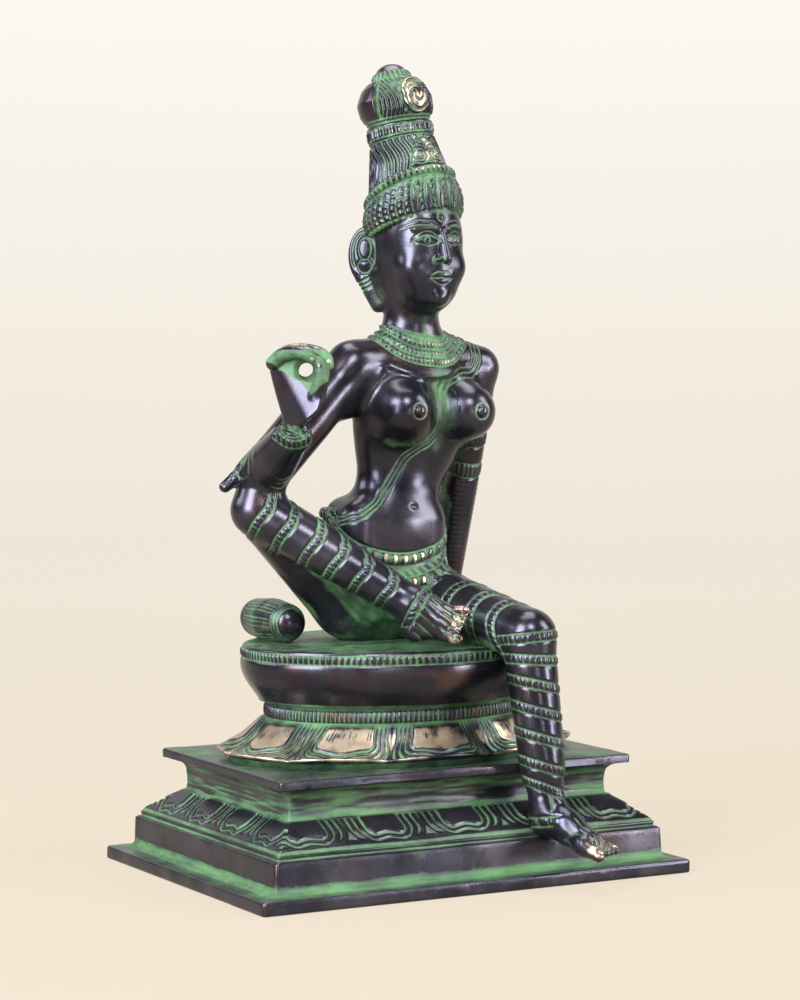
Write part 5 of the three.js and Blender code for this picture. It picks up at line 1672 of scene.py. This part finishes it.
def patinated_metal(name, dark, worn, streak):
    """Dark satin casting with green in its recesses and bare brass where it is rubbed."""
    m = Shader(name)
    broad = m.noise(45, 3, 0.5)
    patch = m.noise(170, 5, 0.65, streak)
    fine = m.noise(520, 5, 0.65)
    grain = m.noise(1800, 3, 0.6)
    scratches = m.noise(300, 3, 0.6, (1, 7, 0.5))
    uneven = m.math("ADD", m.swing(patch, 0.9), m.swing(fine, 0.35))
    green = m.ramp(m.math("ADD", m.attribute("green"), uneven), 0.3, 1.0)
    brass = m.ramp(m.math("ADD", m.attribute("brass"), m.math("MULTIPLY", uneven, 0.8)), 0.35, 0.85)
    rub = m.ramp(m.math("ADD", m.attribute("rub"), m.swing(scratches, 0.8)), 0.3, 1.0)
    colour = m.mix(m.ramp(broad, 0.35, 0.7), dark, worn)
    colour = m.mix(m.ramp(m.noise(75, 3, 0.55), 0.5, 0.75, 0, 0.7), colour, BROWN)
    colour = m.mix(m.math("MULTIPLY", rub, 0.7), colour, RUBBED)
    depth = m.math("ADD", uneven, m.math("SUBTRACT", broad, 0.5))
    colour = m.mix(green, colour, m.mix(m.ramp(depth, -0.3, 0.3), DEEP_GREEN, PALE_GREEN))
    colour = m.mix(brass, colour, m.mix(m.ramp(broad, 0.3, 0.7), DULL_BRASS, BRIGHT_BRASS))
    satin = m.ramp(m.shares(broad, 0.6, scratches, 0.4), 0.3, 0.7, *SATIN)
    roughness = m.mix(brass, m.mix(green, satin, GREEN_ROUGHNESS, "FLOAT"), BRASS_ROUGHNESS, "FLOAT")
    metallic = m.math("MAXIMUM", m.mix(green, 0.85, 0.1, "FLOAT"), m.math("MULTIPLY", brass, 0.95))
    normal = m.bump(m.shares(fine, 0.6, grain, 0.4), 0.12, 0.0003)
    return m.surface(Base_Color=colour, Roughness=roughness, Metallic=metallic, IOR=1.5, Normal=normal)


# Studio: a sweep of paper that glows pale with painted light, soft boxes and the camera. Lengths are in
# metres, save on the paper.

CAMERA = dict(place=(-0.5716, -1.0228, 0.2128), right=(0.8721, -0.4893, 0.0011),
              back=(-0.4883, -0.8705, 0.0622), lens=111.46, sensor=36, clip_start=0.05)
HEADING = math.radians(-29.3)
PAPER = dict(bend=1600, radius=900, height=3000, half_width=3200)
PAPER_ROWS = (-2600, -1000, -300, -100, 0, 150, 300, 500, 800, 1100)
# Painted light on the paper: shares of its glow along its run and up its curve, from warm and dim to pale and
# bright
GLOW_ALONG = (-300, 300, 1100, PAPER["bend"]), (0, 0.12, 0.4, 0.5)
GLOW_UP = (0, 340, 550), (0, 0.3, 0.5)
WARM_PAINTED_LIGHT, PALE_PAINTED_LIGHT = (0.675, 0.585, 0.445), (0.9, 0.875, 0.82)
# Each soft box: place, level it is aimed at, width and height, power, colour
LIGHTS = dict(
    key_left=((-1.3, -0.55, 0.75), 0.15, (0.7, 1.3), 100, (0.82, 0.84, 1)),
    front_left=((-0.42, -1.35, 1.4), 0.15, (0.5, 0.5), 32, (0.93, 0.92, 1)),
    fill_right=((1.15, -0.85, 0.8), 0.15, (0.5, 1.2), 40, (0.92, 0.94, 1)),
    rim_left=((-1.35, 0.8, 0.95), 0.12, (0.7, 0.7), 20, (0.84, 0.85, 1)),
    low_right=((1.06, -1.34, 0.2), 0.13, (0.3, 0.36), 17, (0.9, 0.9, 1)),
    low_front=((-0.2, -1.75, 0.24), 0.1, (0.2, 0.4), 5, (0.88, 0.9, 1)),
    top=((0.1, 0.25, 1.6), 0.1, (1, 1), 31, (1, 1, 1)),
)


def make_camera():
    bpy.context.scene.view_settings.view_transform = "Standard"
    right = Vector(CAMERA["right"]).normalized()
    back = Vector(CAMERA["back"]).normalized()
    up = back.cross(right).normalized()
    right = up.cross(back)
    data = bpy.data.cameras.new("camera")
    data.sensor_fit = "VERTICAL"
    data.sensor_height = CAMERA["sensor"]
    data.lens = CAMERA["lens"]
    data.clip_start = CAMERA["clip_start"]
    camera = bpy.data.objects.new("camera", data)
    matrix = Matrix((right, up, back)).transposed().to_4x4()
    matrix.translation = Vector(CAMERA["place"])
    camera.matrix_world = matrix
    bpy.context.scene.collection.objects.link(camera)
    bpy.context.scene.camera = camera


def make_light(name, place, aimed_at, size, power, colour):
    data = bpy.data.lights.new(name, "AREA")
    data.shape = "RECTANGLE"
    data.size, data.size_y = size
    data.energy = power
    data.color = colour
    light = bpy.data.objects.new(name, data)
    place, target = Vector(place), Vector((0, 0, aimed_at))
    turn = (place - target).to_track_quat("Z", "Y").to_matrix().to_4x4()
    light.matrix_world = Matrix.Translation(place) @ turn
    bpy.context.scene.collection.objects.link(light)


def make_paper():
    """A floor that curves up far behind the object, seen from the camera's heading."""
    across = vec(math.cos(HEADING), math.sin(HEADING), 0)
    away = vec(-math.sin(HEADING), math.cos(HEADING), 0)
    bend, radius = PAPER["bend"], PAPER["radius"]
    profile = [(float(d), 0.0) for d in (*PAPER_ROWS, bend)]
    for t in np.linspace(0, math.pi / 2, 33)[1:]:
        profile.append((bend + radius * math.sin(t), radius * (1 - math.cos(t))))
    profile.append((bend + radius, PAPER["height"]))
    widths = np.linspace(-PAPER["half_width"], PAPER["half_width"], 9)
    points = [away * d + across * w + vec(0, 0, h) for d, h in profile for w in widths]
    n = len(widths)
    faces = [(i * n + j, i * n + j + 1, (i + 1) * n + j + 1, (i + 1) * n + j)
             for i in range(len(profile) - 1) for j in range(n - 1)]
    floor = mesh_object("floor", np.array(points), np.array(faces))
    # Painted light: the paper glows warmer and dimmer near the object and low down, and paler and brighter
    # far behind it and up its curve
    glow = [np.interp(d, *GLOW_ALONG) + np.interp(h, *GLOW_UP) for d, h in profile for w in widths]
    paint(floor, glow=np.array(glow))
    m = Shader("paper")
    # The paper's own colour is nearly black, so its brightness comes from the painted glow rather than the
    # lamps
    tone = m.mix(m.noise(3, 2), (0.05, 0.046, 0.04), (0.055, 0.051, 0.045))
    light = m.mix(m.attribute("glow"), WARM_PAINTED_LIGHT, PALE_PAINTED_LIGHT)
    floor.data.materials.append(m.surface(Base_Color=tone, Roughness=0.9, Specular_IOR_Level=0.0,
                                          Emission_Color=light, Emission_Strength=1.0))
    return floor


def make_studio():
    world = bpy.data.worlds.new("studio")
    bpy.context.scene.world = world
    world.use_nodes = True
    background = world.node_tree.nodes["Background"]
    background.inputs["Color"].default_value = (0.8, 0.85, 1, 1)
    background.inputs["Strength"].default_value = 0.03
    floor = make_paper()
    floor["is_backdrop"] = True
    for name, light in LIGHTS.items():
        make_light(name, *light)


make_camera()
make_studio()

MOST_TRIANGLES = dict(figure_legs=185000, figure_waist=125000, figure_chest=165000, figure_head=120000,
                      figure_crown=110000, figure_seat=150000, plinth_metal_body=125000)
figure_metal = patinated_metal("figure_metal", (0.024, 0.0235, 0.03), (0.043, 0.039, 0.047), (1, 1, 1))
plinth_metal = patinated_metal("plinth_metal", (0.025, 0.025, 0.033), (0.046, 0.042, 0.05), (0.25, 0.25, 1.6))

figure_pieces = make_body(0.48, 0.38)
figure_pieces.append(make_crown(330, 0.42))
figure_pieces.append(make_seat(760, 0.6))
for piece in figure_pieces:
    thinned(piece, MOST_TRIANGLES[piece.name])
    piece.data.materials.append(figure_metal)
    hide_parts(FIGURE)
    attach(piece, "root")

plinth = make_plinth(0.62)
thinned(plinth, MOST_TRIANGLES[plinth.name])
plinth.data.materials.append(plinth_metal)
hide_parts(PLINTH)
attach(plinth, "root")


def plain(value):
    if hasattr(value, "items"):
        return {key: plain(entry) for key, entry in value.items()}
    if hasattr(value, "__len__") and not isinstance(value, str):
        return [plain(entry) for entry in value]
    return value if isinstance(value, (str, int)) or value is None else float(value)


{"cad": plain(CAD_BOX), "all": plain(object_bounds())}
